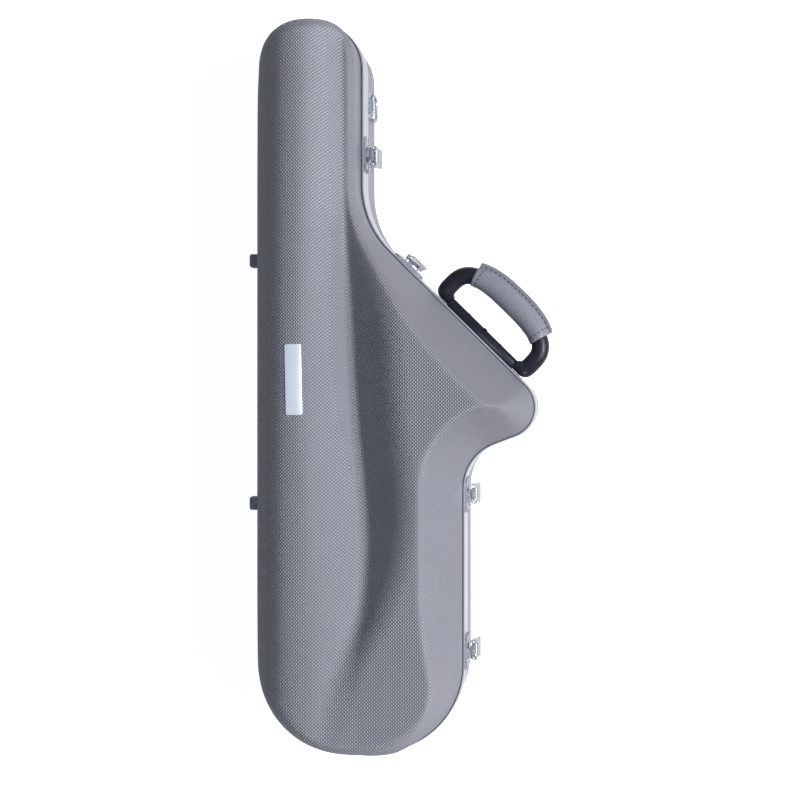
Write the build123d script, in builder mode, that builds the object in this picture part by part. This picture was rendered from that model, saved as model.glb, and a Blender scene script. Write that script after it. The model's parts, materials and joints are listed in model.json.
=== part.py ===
"""Contoured hard case for a tenor saxophone, in millimetres.

The case lies on its back. +Z is up, towards the lid, +Y points to the neck end and +X to
the side with the latches and the handle. The origin is on the flat back that it rests on,
under the middle of the lower body. The two halves meet in the parting plane.
"""

import os
from math import ceil, radians, tan

import numpy as np
from build123d import *

os.makedirs("parts", exist_ok=True)

# Outline of the shells in the parting plane
case_length = 820.0
body_width = 225.0
neck_width = 110.0
shoulder_y_share = 0.2232
waist_y_share = -0.0927
bell_corner_y_share = -0.0439
bell_corner_reach = 331.0
neck_end_radius = 52.0
body_end_radius = 101.0
shoulder_radius = 108.0
waist_radius = 54.0
bell_tip_radius = 33.0
least_end_flat = 1.0

# Depths of the two halves
base_depth = 98.0
lid_height = 104.0
shell_wall = 3.0
back_edge_radius = 46.0
back_flat_dip = 1.5

# Relief of the lid, heights above the parting plane
spine_wall_height = 56.0
ridge_crest_width = 56.0
plateau_height = 93.0
neck_shelf_height = 66.0
rim_wall_height = 17.0
neck_wall_height = 52.0
end_wall_height = 34.0
valley_height = 48.0
valley_slope_angle = 41.0
end_round_width = 34.0
crease_blend = 4.0
crest_blend = 7.0
plateau_blend = 14.0
lowest_relief = 6.0
ridge_spine_power = 2.6
ridge_valley_power = 1.7
outside_reach = 9.0
surface_pitch = 9.0
surface_margin = 7.0
surface_tolerance = 0.1
outline_step = 3.0
steepest_inset_share = 2.2

# Aluminium frames on both sides of the parting plane
frame_height = 14.0
frame_seat_gap = 0.15
frame_skin = 2.2
frame_inner_skin = 1.8
frame_web = 3.0
frame_meeting_gap = 0.3
groove_inset = 0.8
groove_width = 1.8
groove_depth = 1.6
seal_gap = 0.1
bead_width = 1.0
bead_height = 1.6

# Foam
foam_gap = 0.6
foam_face_drop = 1.5
foam_thickness = 15.0
foam_rim = 16.0
base_cavity_floor = 20.0
cradle_gap = 0.3

# Hinges along the spine
hinge_length = 46.0
knuckle_count = 5
hinge_neck_past_round = 58.0
hinge_tail_past_round = 44.0
hinge_leaf_thickness = 1.3
hinge_leaf_height = 12.0
hinge_leaf_start = 3.6
hinge_seat_gap = 0.3
knuckle_radius = 3.0
knuckle_gap = 0.25
hinge_pin_radius = 1.5
pin_clearance = 0.05
pin_overhang = 0.8

# Rivets and screws
rivet_head_radius = 2.6
rivet_head_height = 1.1
rivet_radius = 1.5
rivet_dome_out_share = 0.62
rivet_dome_up_share = 0.72
hinge_rivet_spacing = 15.0
hinge_rivet_level = 10.2

# Draw latches: place of each latch on the rim, and its pieces
latch_neck_share = 0.3546
latch_waist_drop = 45.0
latch_body_past_round = 12.0
latch_bell_along = 70.0
latch_plate_length = 40.0
latch_plate_tip = 6.0
latch_plate_height = 12.0
latch_plate_thickness = 1.5
latch_stand_off = 1.3
latch_seat_gap = 0.075
latch_pivot_out = 5.8
latch_pivot_drop = 7.0
latch_link_radius = 8.0
latch_ear_radius = 2.2
latch_ear_thickness = 1.2
latch_ear_inset = 8.2
latch_stub_radius = 1.2
latch_cover_gap = 2.6
latch_cover_thickness = 1.4
latch_cover_rise = 1.5
latch_lever_length = 27.0
latch_half_width = 11.2
latch_cheek_thickness = 1.2
latch_window_half = 7.2
latch_window_length = 10.5
latch_lip_length = 6.0
latch_lip_flare = 1.6
claw_half_width = 6.5
claw_thickness = 1.6
claw_window_half = 4.0
claw_bar_height = 3.2
link_pin_radius = 1.2
link_knuckle_radius = 2.2
catch_nose_half = 3.2
catch_nose_foot = 1.6
catch_nose_low = 3.2
catch_nose_high = 8.0
catch_nose_reach = 8.2
catch_nose_tip = 1.6
catch_gap = 0.2
catch_plate_drop = 7.5

# Handle on the slanted rim
handle_along = 182.0
handle_drop = 9.0
handle_half_span = 60.5
handle_half_bulge = 66.5
handle_bulge_out = 23.0
handle_tube_radius = 8.6
handle_pivot_out = 9.2
handle_shoulder_out = 48.0
handle_arch_out = 56.5
handle_arch_drop = 2.0
handle_shoulder_drop = 4.0
handle_corner_radius = 15.2
bow_arch_share = 0.6
grip_half_length = 50.0
grip_radius = 11.0
grip_bend_radius = 100.0
grip_arch_share = 0.55
grip_flange_width = 4.5
grip_flange_thickness = 4.0
handle_bar_half_length = 50.5
handle_bar_width = 13.0
handle_bar_thickness = 5.8
handle_lug_thickness = 6.0
handle_lug_radius = 5.5
handle_pin_radius = 3.0
handle_pin_length = 13.0
handle_foot_gap = 0.7
handle_screw_radius = 3.0
handle_screw_place = 24.5

# Carrying rings on the wall of the base
ring_neck_share = 0.6256
ring_tail_x = 0.0
ring_drop = 32.0
ring_plate_length = 30.0
ring_plate_height = 15.0
ring_plate_thickness = 1.5
ring_axis_out = 4.4
ring_wire_radius = 1.6
ring_half_width = 14.0
ring_length = 20.0
ring_corner_radius = 8.0
ring_bar_corner_radius = 2.4
ring_ear_radius = 2.8
ring_ear_length = 6.0

# Rubber feet on the spine
foot_length = 15.0
foot_height = 15.0
foot_reach = 12.0
foot_corner_radius = 3.0
foot_edge_radius = 2.4
foot_upper_share = 0.172
foot_lower_share = -0.16
foot_lid_height = 38.0
foot_base_drop = 30.0

# Bare name plate on the lid
plate_length = 80.0
plate_width = 19.5
plate_thickness = 1.2
plate_x = -67.0
plate_y = 8.0
plate_sink = 6.0
plate_seat_gap = 0.05
plate_bevel = 0.35

# Foam cradles in the base
cradle_length = 34.0
cradle_height = 46.0
cradle_neck_inset = 88.0
cradle_bow_inset = 195.0
cradle_notch_radius = 27.0
cradle_bow_notch_radius = 48.0
divider_length = 150.0
divider_width = 16.0
divider_height = 60.0
divider_waist_rise = 116.0

# Every cut runs past its piece by this much
overrun = 2.0

spine_x = -body_width / 2
body_x = body_width / 2
neck_x = spine_x + neck_width
bell_corner_x = spine_x + bell_corner_reach
shoulder_y = case_length * shoulder_y_share
waist_y = case_length * waist_y_share
bell_corner_y = case_length * bell_corner_y_share
top_y = case_length / 2
bottom_y = -case_length / 2
neck_corner = min(neck_end_radius, (neck_width - least_end_flat) / 2)
body_corner = min(body_end_radius, (body_width - least_end_flat) / 2)
parting_z = base_depth
frame_out = frame_seat_gap + frame_skin
frame_in = shell_wall + frame_seat_gap + frame_inner_skin
lid_seat_z = parting_z + frame_web + frame_seat_gap
base_seat_z = parting_z - frame_web - frame_seat_gap


def save(piece, name):
    """Label a finished piece and write it to its own file."""
    piece.label = name
    export_step(piece, f"parts/{name}.step")


def outline_sketch(grow=0.0):
    """The case outline in the parting plane, grown outwards by a distance."""
    corners = [
        (spine_x, top_y),
        (neck_x, top_y),
        (neck_x, shoulder_y),
        (bell_corner_x, bell_corner_y),
        (body_x, waist_y),
        (body_x, bottom_y),
        (spine_x, bottom_y),
    ]
    radii = [
        neck_corner,
        neck_corner,
        shoulder_radius,
        bell_tip_radius,
        waist_radius,
        body_corner,
        body_corner,
    ]
    with BuildSketch() as sketch:
        with BuildLine():
            FilletPolyline(*corners, radius=radii, close=True)
        make_face()
        if grow != 0:
            offset(amount=grow)
    return sketch.sketch


def outline_ring(outer, inner):
    """The band of the outline between two growths."""
    with BuildSketch() as ring:
        add(outline_sketch(outer))
        add(outline_sketch(inner), mode=Mode.SUBTRACT)
    return ring.sketch


def rim_points():
    """Points along the outline, for the distances to the rim."""
    points = []
    for edge in outline_sketch().face().outer_wire().order_edges():
        count = ceil(edge.length / outline_step)
        points += [tuple(edge.position_at(i / count))[:2] for i in range(count)]
    return np.array(points)


def rim_distance(x, y, rim):
    """Distance from each grid point to the outline, positive inside it."""
    run = np.roll(rim, -1, axis=0) - rim
    gap = np.full(x.shape, np.inf)
    inside = np.zeros(x.shape, bool)
    for (ax, ay), (ex, ey) in zip(rim, run):
        along = ((x - ax) * ex + (y - ay) * ey) / (ex * ex + ey * ey)
        along = np.clip(along, 0, 1)
        gap = np.minimum(gap, np.hypot(x - ax - along * ex, y - ay - along * ey))
        if ey != 0:
            spans = (ay > y) != (ay + ey > y)
            inside ^= spans & (x < ax + (y - ay) / ey * ex)
    return np.where(inside, gap, -gap)


def smooth_low(a, b, blend):
    """The lower of two surfaces, rounded over a blend length where they cross."""
    mix = np.clip(0.5 + (b - a) / (2 * blend), 0, 1)
    return b + (a - b) * mix - blend * mix * (1 - mix)


def smooth_high(a, b, blend):
    """The higher of two surfaces, rounded where they cross."""
    return -smooth_low(-a, -b, blend)


# Stations along the case, as shares of its length from the body end to the neck end
station_shares = [0.0, 0.07, 0.12, 0.2, 0.29, 0.36, 0.42, 0.5, 0.56, 0.62, 0.69, 0.77, 0.9, 1.0]
crease_shares = [0.42, 0.42, 0.455, 0.545, 0.56, 0.54, 0.515, 0.49, 0.478, 0.47, 0.455, 0.44, 0.435, 0.43]
crease_rise_shares = [0.96, 0.92, 0.8, 0.45, 0.12, 0.0, 0.0, 0.0, 0.0, 0.08, 0.22, 0.34, 0.34, 0.34]
flange_width_shares = [0.09, 0.09, 0.13, 0.18, 0.18, 0.18, 0.19, 0.21, 0.2, 0.15, 0.09, 0.07, 0.07, 0.08]
bell_side_shares = [1.0, 1.0, 1.0, 1.0, 1.0, 1.0, 1.0, 1.0, 1.0, 0.85, 0.35, 0.0, 0.0, 0.0]
end_side_shares = [1.0, 0.5, 0.15, 0.0, 0.0, 0.0, 0.0, 0.0, 0.0, 0.0, 0.0, 0.0, 0.1, 1.0]
station_easing_shares = [-0.03, -0.015, 0.0, 0.015, 0.03]


def along_case(y, shares):
    """A share that changes along the case, eased between its stations."""
    place = (y - bottom_y) / case_length
    eased = [np.interp(place + shift, station_shares, shares) for shift in station_easing_shares]
    return sum(eased) / len(eased)


def lid_relief(x, y, rim_gap):
    """Height of the lid over the parting plane: ridge, valley, bell plateau and flange."""
    inside = np.maximum(rim_gap, -outside_reach)
    bell_side = along_case(y, bell_side_shares)
    end_side = along_case(y, end_side_shares)
    crease_x = spine_x + body_width * along_case(y, crease_shares)
    shelf = neck_shelf_height + (plateau_height - neck_shelf_height) * bell_side
    valley = valley_height + (plateau_height - valley_height) * along_case(y, crease_rise_shares)
    valley = np.minimum(valley, shelf)

    crest_x = spine_x + ridge_crest_width
    left = np.maximum((crest_x - x) / ridge_crest_width, 0)
    right = np.maximum((x - crest_x) / (crease_x - crest_x), 0)
    ridge = lid_height - (lid_height - spine_wall_height) * left**ridge_spine_power
    ridge = ridge - (lid_height - valley) * right**ridge_valley_power

    bowl = valley + tan(radians(valley_slope_angle)) * (x - crease_x)
    bowl = smooth_low(bowl, shelf, plateau_blend)
    flange_width = body_width * along_case(y, flange_width_shares)
    side_wall = neck_wall_height + (rim_wall_height - neck_wall_height) * bell_side
    flange = side_wall + (lid_height - side_wall) * inside / flange_width
    right_side = smooth_low(bowl, flange, crest_blend)
    relief = smooth_high(ridge, right_side, crease_blend)

    spine_side = np.clip((crest_x - x) / ridge_crest_width, 0, 1)
    wall = side_wall + (spine_wall_height - side_wall) * spine_side
    wall = wall + (end_wall_height - wall) * end_side
    rounding = np.maximum(1 - inside / end_round_width, 0)
    cap = wall + (lid_height - wall) * (1 - rounding**2)
    cap = cap + (lid_height - cap) * (1 - end_side) * (1 - spine_side)
    return np.maximum(smooth_low(relief, cap, crest_blend), lowest_relief)


def back_relief(rim_gap):
    """Height of the back over the floor: rounded all round, flat in the middle."""
    rounding = np.clip(1 - np.maximum(rim_gap, 0) / back_edge_radius, 0, 1)
    return back_edge_radius * (1 - np.sqrt(1 - rounding**2)) - back_flat_dip * (1 - rounding)


def softened(height):
    """The height grid after two passes of a binomial filter in each direction."""
    for _ in range(2):
        wide = np.pad(height, 1, mode="reflect", reflect_type="odd")
        height = (wide[:-2, 1:-1] + 2 * wide[1:-1, 1:-1] + wide[2:, 1:-1]) / 4
        wide = np.pad(height, 1, mode="reflect", reflect_type="odd")
        height = (wide[1:-1, :-2] + 2 * wide[1:-1, 1:-1] + wide[1:-1, 2:]) / 4
    return height


grid_columns = ceil((bell_corner_reach + surface_margin) / surface_pitch)
grid_rows = ceil((case_length + 2 * surface_margin) / surface_pitch)
grid_x = np.linspace(spine_x - surface_margin, bell_corner_x, grid_columns + 1)
grid_y = np.linspace(bottom_y - surface_margin, top_y + surface_margin, grid_rows + 1)
mesh_x, mesh_y = np.meshgrid(grid_x, grid_y, indexing="ij")
mesh_gap = rim_distance(mesh_x, mesh_y, rim_points())


def inset_by(height, distance):
    """Vertical distance that keeps a surface a given distance inside another one."""
    slope_x, slope_y = np.gradient(height, grid_x, grid_y)
    return distance * np.minimum(np.sqrt(1 + slope_x**2 + slope_y**2), steepest_inset_share)


def surface_block(height, depth):
    """A block under or over a height grid, down or up by a depth."""
    points = [
        [Vector(mesh_x[i, j], mesh_y[i, j], height[i, j]) for j in range(grid_rows + 1)]
        for i in range(grid_columns + 1)
    ]
    face = Face.make_surface_from_array_of_points(points, tol=surface_tolerance, min_deg=3)
    return Solid.extrude(face, Vector(0, 0, depth))


lid_surface = parting_z + softened(lid_relief(mesh_x, mesh_y, mesh_gap))
back_surface = softened(back_relief(mesh_gap))
block_depth = 2 * (base_depth + lid_height)


def under_lid(inset, grow, low_z):
    """The space inside the lid, a distance in from its outer surface and its outline."""
    height = lid_surface - softened(inset_by(lid_surface, inset)) if inset else lid_surface
    block = surface_block(height, -block_depth)
    with BuildPart() as space:
        with BuildSketch(Plane.XY.offset(low_z)):
            add(outline_sketch(grow))
        extrude(amount=lid_height + overrun)
        add(block, mode=Mode.INTERSECT)
    return space.part


def over_back(inset, grow, high_z):
    """The space inside the base, a distance in from its back and its outline."""
    height = back_surface
    if inset:
        height = back_surface + softened(inset_by(back_surface, inset)) + back_flat_dip
    block = surface_block(height, block_depth)
    with BuildPart() as space:
        with BuildSketch():
            add(outline_sketch(grow))
        extrude(amount=high_z)
        add(block, mode=Mode.INTERSECT)
    return space.part


lid_solid = under_lid(0, 0, lid_seat_z)
base_solid = over_back(0, 0, base_seat_z)

with BuildPart() as lid_shell:
    add(lid_solid)
    add(under_lid(shell_wall, -shell_wall, lid_seat_z - overrun), mode=Mode.SUBTRACT)

with BuildPart() as base_shell:
    add(base_solid)
    add(over_back(shell_wall, -shell_wall, base_seat_z + overrun), mode=Mode.SUBTRACT)

# Each frame is a channel: an outer skin, an inner skin and a web where the halves meet
with BuildPart() as lid_frame:
    with BuildSketch(Plane.XY.offset(parting_z + frame_meeting_gap / 2)):
        add(outline_ring(frame_out, -frame_in))
    extrude(amount=frame_height - frame_meeting_gap / 2)
    with BuildSketch(Plane.XY.offset(parting_z + frame_web)):
        add(outline_ring(frame_seat_gap, -shell_wall - frame_seat_gap))
    extrude(amount=frame_height, mode=Mode.SUBTRACT)

with BuildPart() as base_frame:
    with BuildSketch(Plane.XY.offset(parting_z - frame_height)):
        add(outline_ring(frame_out, -frame_in))
    extrude(amount=frame_height - frame_meeting_gap / 2)
    with BuildSketch(Plane.XY.offset(parting_z - frame_height - frame_web)):
        add(outline_ring(frame_seat_gap, -shell_wall - frame_seat_gap))
    extrude(amount=frame_height, mode=Mode.SUBTRACT)
    with BuildSketch(Plane.XY.offset(parting_z - groove_depth)):
        add(outline_ring(-groove_inset, -groove_inset - groove_width))
    extrude(amount=groove_depth, mode=Mode.SUBTRACT)

with BuildPart() as frame_seal:
    with BuildSketch(Plane.XY.offset(parting_z - groove_depth)):
        add(outline_ring(-groove_inset - seal_gap, -groove_inset - groove_width + seal_gap))
    extrude(amount=groove_depth)

with BuildPart() as lid_bead:
    with BuildSketch(Plane.XY.offset(parting_z + frame_height)):
        add(outline_ring(frame_seat_gap + bead_width, frame_seat_gap))
    extrude(amount=bead_height)

with BuildPart() as base_bead:
    with BuildSketch(Plane.XY.offset(parting_z - frame_height - bead_height)):
        add(outline_ring(frame_seat_gap + bead_width, frame_seat_gap))
    extrude(amount=bead_height)

# Foam linings: each is a thick liner that follows its shell, hollowed for the instrument
foam_grow = -frame_in - foam_gap
with BuildPart() as lid_foam:
    add(under_lid(shell_wall + foam_gap, foam_grow, parting_z + foam_face_drop))
    add(
        under_lid(shell_wall + foam_thickness, foam_grow - foam_rim, parting_z - overrun),
        mode=Mode.SUBTRACT,
    )

with BuildPart() as base_foam:
    add(over_back(shell_wall + foam_gap, foam_grow, parting_z - foam_face_drop))
    with BuildSketch(Plane.XY.offset(base_cavity_floor)):
        add(outline_sketch(foam_grow - foam_rim))
    extrude(amount=base_depth, mode=Mode.SUBTRACT)

# Cradles stand on the cavity floor and fit between its walls
cavity_grow = foam_grow - foam_rim - cradle_gap
cradle_floor = Plane.XY.offset(base_cavity_floor)


def cradle(center_y, notch_center_x, notch_radius):
    """A foam block across the cavity with a round notch for the body of the instrument."""
    with BuildPart() as block:
        with BuildSketch(cradle_floor):
            with Locations((0, center_y)):
                Rectangle(2 * bell_corner_reach, cradle_length)
            add(outline_sketch(cavity_grow), mode=Mode.INTERSECT)
        extrude(amount=cradle_height)
        notch_plane = Plane.XZ.offset(-center_y - cradle_length)
        with BuildSketch(notch_plane):
            with Locations((notch_center_x, base_cavity_floor + cradle_height)):
                Circle(notch_radius)
        extrude(amount=2 * cradle_length, mode=Mode.SUBTRACT)
    return block.part


neck_cradle = cradle(top_y - cradle_neck_inset, (spine_x + neck_x) / 2, cradle_notch_radius)
bow_cradle = cradle(bottom_y + cradle_bow_inset, (spine_x + body_x) / 2, cradle_bow_notch_radius)

with BuildPart() as bell_divider:
    with BuildSketch(cradle_floor):
        with Locations(((spine_x + body_x) / 2, waist_y + divider_waist_rise)):
            SlotOverall(divider_length, divider_width, rotation=90)
    extrude(amount=divider_height)

# Hinges: the pin line lies outside the spine, in the parting plane
hinge_neck_y = top_y - neck_corner - hinge_neck_past_round
hinge_tail_y = bottom_y + body_corner + hinge_tail_past_round
hinge_x = spine_x - frame_out - hinge_seat_gap - knuckle_radius
knuckle_length = hinge_length / knuckle_count


def hinge_leaf(center_y, side, turns):
    """A hinge leaf on one half. side is 1 on the lid and -1 on the base."""
    face_x = spine_x - frame_out - hinge_seat_gap
    leaf_x = face_x - hinge_leaf_thickness / 2
    low = parting_z + side * hinge_leaf_start
    section = Plane.XZ.offset(-center_y)
    with BuildPart() as leaf:
        with BuildSketch(section):
            with Locations((leaf_x, low + side * hinge_leaf_height / 2)):
                Rectangle(hinge_leaf_thickness, hinge_leaf_height)
        extrude(amount=hinge_length / 2, both=True)
        for turn in turns:
            middle_y = center_y + (turn - (knuckle_count - 1) / 2) * knuckle_length
            with BuildSketch(Plane.XZ.offset(-middle_y)):
                with Locations((hinge_x, parting_z)):
                    Circle(knuckle_radius)
                with Locations((leaf_x, parting_z + side * hinge_leaf_start)):
                    Rectangle(hinge_leaf_thickness, 2 * hinge_leaf_start)
            extrude(amount=knuckle_length / 2 - knuckle_gap / 2, both=True)
        with BuildSketch(section):
            with Locations((hinge_x, parting_z)):
                Circle(hinge_pin_radius + pin_clearance)
        extrude(amount=hinge_length, both=True, mode=Mode.SUBTRACT)
        with BuildSketch(Plane.YZ.offset(face_x - overrun)):
            for place in (-hinge_rivet_spacing, hinge_rivet_spacing):
                with Locations((center_y + place, parting_z + side * hinge_rivet_level)):
                    Circle(rivet_radius + pin_clearance)
        extrude(amount=2 * overrun, mode=Mode.SUBTRACT)
    return leaf.part


def hinge_pin(center_y):
    """The pin through the knuckles, a little longer than they are."""
    with BuildPart() as pin:
        with BuildSketch(Plane.XZ.offset(-center_y)):
            with Locations((hinge_x, parting_z)):
                Circle(hinge_pin_radius)
        extrude(amount=hinge_length / 2 + pin_overhang, both=True)
    return pin.part


def rivet(plane, shank, head_radius=rivet_head_radius):
    """A domed rivet: head on the plane, shank into the piece behind it."""
    with BuildPart() as one:
        with BuildSketch(Plane.XZ):
            with BuildLine():
                Line((0, 0), (0, rivet_head_height))
                ThreePointArc(
                    (0, rivet_head_height),
                    (head_radius * rivet_dome_out_share, rivet_head_height * rivet_dome_up_share),
                    (head_radius, 0),
                )
                Line((head_radius, 0), (0, 0))
            make_face()
        revolve(axis=Axis.Z)
        with BuildSketch():
            Circle(rivet_radius)
        extrude(amount=-shank)
    return plane.location * one.part


hinge_neck_base_leaf = hinge_leaf(hinge_neck_y, -1, (0, 2, 4))
hinge_neck_lid_leaf = hinge_leaf(hinge_neck_y, 1, (1, 3))
hinge_tail_base_leaf = hinge_leaf(hinge_tail_y, -1, (0, 2, 4))
hinge_tail_lid_leaf = hinge_leaf(hinge_tail_y, 1, (1, 3))
hinge_neck_pin = hinge_pin(hinge_neck_y)
hinge_tail_pin = hinge_pin(hinge_tail_y)


def spine_rivet_planes(side):
    """Where the rivets of the two hinge leaves on one half have their heads."""
    outer_x = spine_x - frame_out - hinge_seat_gap - hinge_leaf_thickness
    level = parting_z + side * hinge_rivet_level
    spots = []
    for center_y in (hinge_neck_y, hinge_tail_y):
        for place in (-hinge_rivet_spacing, hinge_rivet_spacing):
            spots.append(Plane(origin=(outer_x, center_y + place, level), z_dir=(-1, 0, 0)))
    return spots


hinge_shank = hinge_leaf_thickness + hinge_seat_gap + frame_skin / 2
lid_hinge_rivet_planes = spine_rivet_planes(1)
base_hinge_rivet_planes = spine_rivet_planes(-1)

# The slanted rim runs from the shoulder corner to the bell corner
slant = Vector(bell_corner_x - neck_x, bell_corner_y - shoulder_y, 0).normalized()
slant_out = Vector(-slant.Y, slant.X, 0)
across = Vector(1, 0, 0)


def rim_plane(origin_xy, outwards, out, level):
    """A plane on the rim: local z points outwards, local y up, local x along the rim."""
    origin = Vector(origin_xy[0], origin_xy[1], level) + outwards * out
    return Plane(origin=origin, x_dir=Vector(0, 0, 1).cross(outwards), z_dir=outwards)


def side_plane(origin_xy, outwards, out, level, shift=0.0):
    """A plane across the rim: local x points outwards, local y up."""
    along = Vector(0, 0, 1).cross(outwards)
    origin = Vector(origin_xy[0], origin_xy[1], level) + outwards * out + along * shift
    return Plane(origin=origin, x_dir=outwards, z_dir=outwards.cross(Vector(0, 0, 1)))


slant_point = Vector(neck_x, shoulder_y, 0) + slant * latch_bell_along
latch_neck_y = shoulder_y + latch_neck_share * (top_y - shoulder_y)
latch_waist_y = waist_y - latch_waist_drop
latch_body_y = bottom_y + body_corner + latch_body_past_round
latch_places = [
    ("latch_1", (neck_x, latch_neck_y), across),
    ("latch_2", (slant_point.X, slant_point.Y), slant_out),
    ("latch_3", (body_x, latch_waist_y), across),
    ("latch_4", (body_x, latch_body_y), across),
]

seat_out = frame_out + latch_stand_off
plate_out = seat_out + latch_plate_thickness
pivot_out = seat_out + latch_pivot_out
pivot_z = parting_z - latch_pivot_drop
cover_in = latch_cover_gap
cover_out = latch_cover_gap + latch_cover_thickness
rivet_place = latch_plate_length / 2 - latch_plate_tip


def pointed_plate(place, outwards, level, frame_cut):
    """A pointed plate on the rim, backed out to the frame, with two rivet holes."""
    half = latch_plate_length / 2
    tall = latch_plate_height / 2
    with BuildPart() as plate:
        with BuildSketch(rim_plane(place, outwards, frame_out - overrun, level)):
            with BuildLine():
                Polyline(
                    (-half, 0),
                    (-half + latch_plate_tip, -tall),
                    (half - latch_plate_tip, -tall),
                    (half, 0),
                    (half - latch_plate_tip, tall),
                    (-half + latch_plate_tip, tall),
                    close=True,
                )
            make_face()
            with Locations((-rivet_place, 0), (rivet_place, 0)):
                Circle(rivet_radius + pin_clearance, mode=Mode.SUBTRACT)
        extrude(amount=plate_out - frame_out + overrun)
        add(frame_cut, mode=Mode.SUBTRACT)
    return plate.part


with BuildPart() as frame_envelope:
    with BuildSketch(Plane.XY.offset(parting_z - 2 * frame_height)):
        add(outline_sketch(frame_out + latch_seat_gap))
    extrude(amount=4 * frame_height)


def latch_plate(place, outwards):
    """The base plate of a latch with its two ears."""
    level = pivot_z
    with BuildPart() as plate:
        add(pointed_plate(place, outwards, level, frame_envelope.part))
        for side in (-1, 1):
            shift = side * (latch_ear_inset + latch_ear_thickness / 2)
            with BuildSketch(side_plane(place, outwards, 0, level, shift)):
                with Locations((pivot_out, 0)):
                    Circle(latch_ear_radius)
                with Locations(((pivot_out + seat_out) / 2, 0)):
                    Rectangle(pivot_out - seat_out, 2 * latch_ear_radius)
                with Locations((pivot_out, 0)):
                    Circle(latch_stub_radius + pin_clearance, mode=Mode.SUBTRACT)
            extrude(amount=latch_ear_thickness / 2, both=True)
    return plate.part


def latch_stubs(place, outwards):
    """The two stub pins that the lever turns on."""
    reach = latch_half_width + pin_clearance - latch_ear_inset
    stubs = []
    for side in (-1, 1):
        shift = side * (latch_ear_inset + reach / 2)
        with BuildPart() as stub:
            with BuildSketch(side_plane(place, outwards, 0, pivot_z, shift)):
                with Locations((pivot_out, 0)):
                    Circle(latch_stub_radius)
            extrude(amount=reach / 2, both=True)
        stubs.append(stub.part.solid())
    return stubs


def latch_lever(place, outwards):
    """The lever: a windowed cover with two cheeks and a flared finger lip."""
    foot = -latch_lever_length
    lip = foot + latch_lip_length
    with BuildPart() as lever:
        with BuildSketch(side_plane(place, outwards, pivot_out, pivot_z)):
            with BuildLine():
                Polyline(
                    (cover_in, latch_cover_rise),
                    (cover_out, latch_cover_rise),
                    (cover_out, lip),
                    (cover_out + latch_lip_flare, foot),
                    (cover_in + latch_lip_flare, foot),
                    (cover_in, lip),
                    close=True,
                )
            make_face()
        extrude(amount=latch_half_width, both=True)
        with BuildSketch(rim_plane(place, outwards, pivot_out, pivot_z)):
            with Locations((0, (overrun + latch_cover_rise - latch_window_length) / 2)):
                Rectangle(2 * latch_window_half, latch_window_length + latch_cover_rise + overrun)
        extrude(amount=2 * cover_out, mode=Mode.SUBTRACT)
        for side in (-1, 1):
            shift = side * (latch_half_width - latch_cheek_thickness / 2)
            with BuildSketch(side_plane(place, outwards, pivot_out, pivot_z, shift)):
                with BuildLine():
                    Polyline(
                        (cover_in + latch_cover_thickness / 2, latch_cover_rise),
                        (-latch_ear_radius, latch_cover_rise),
                        (-latch_ear_radius, -latch_link_radius - latch_ear_radius),
                        (cover_in + latch_cover_thickness / 2, lip),
                        close=True,
                    )
                make_face()
                Circle(latch_stub_radius + pin_clearance, mode=Mode.SUBTRACT)
                with Locations((0, -latch_link_radius)):
                    Circle(link_pin_radius + pin_clearance, mode=Mode.SUBTRACT)
            extrude(amount=latch_cheek_thickness / 2, both=True)
    return lever.part


def latch_link_pin(place, outwards):
    """The pin that carries the claw between the cheeks of the lever."""
    with BuildPart() as pin:
        with BuildSketch(side_plane(place, outwards, pivot_out, pivot_z)):
            with Locations((0, -latch_link_radius)):
                Circle(link_pin_radius)
        extrude(amount=latch_half_width, both=True)
    return pin.part


def latch_claw(place, outwards):
    """The claw: a plate with a knuckle at its foot and a window that takes the nose."""
    top = parting_z + catch_nose_high + catch_gap + claw_bar_height - pivot_z
    window_low = parting_z + catch_nose_foot - 2 * catch_gap - pivot_z
    window_high = parting_z + catch_nose_high + catch_gap - pivot_z
    with BuildPart() as claw:
        with BuildSketch(rim_plane(place, outwards, pivot_out - claw_thickness / 2, pivot_z)):
            with Locations((0, (top - latch_link_radius) / 2)):
                Rectangle(2 * claw_half_width, top + latch_link_radius)
            with Locations((0, (window_low + window_high) / 2)):
                Rectangle(2 * claw_window_half, window_high - window_low, mode=Mode.SUBTRACT)
        extrude(amount=claw_thickness)
        with BuildSketch(side_plane(place, outwards, pivot_out, pivot_z)):
            with Locations((0, -latch_link_radius)):
                Circle(link_knuckle_radius)
        extrude(amount=claw_half_width, both=True)
        with BuildSketch(side_plane(place, outwards, pivot_out, pivot_z)):
            with Locations((0, -latch_link_radius)):
                Circle(link_pin_radius + pin_clearance)
        extrude(amount=2 * claw_half_width, both=True, mode=Mode.SUBTRACT)
    return claw.part


def latch_catch(place, outwards):
    """The catch on the lid: a pointed plate with a nose."""
    level = parting_z + catch_plate_drop
    with BuildPart() as catch:
        add(pointed_plate(place, outwards, level, frame_envelope.part))
        with BuildSketch(side_plane(place, outwards, 0, parting_z)):
            with BuildLine():
                Polyline(
                    (seat_out, catch_nose_foot),
                    (seat_out, catch_nose_high),
                    (seat_out + catch_nose_reach, catch_nose_high),
                    (seat_out + catch_nose_reach, catch_nose_high - catch_nose_tip),
                    (plate_out + catch_nose_tip, catch_nose_low),
                    (plate_out, catch_nose_foot),
                    close=True,
                )
            make_face()
        extrude(amount=catch_nose_half, both=True)
    return catch.part


def latch_rivet_planes(place, outwards, level):
    """Where the two rivets of a latch plate or of its catch have their heads."""
    along = Vector(0, 0, 1).cross(outwards)
    spots = []
    for shift in (-rivet_place, rivet_place):
        spot = Vector(place[0], place[1], level) + outwards * plate_out + along * shift
        spots.append(Plane(origin=spot, x_dir=along, z_dir=outwards))
    return spots


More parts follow.
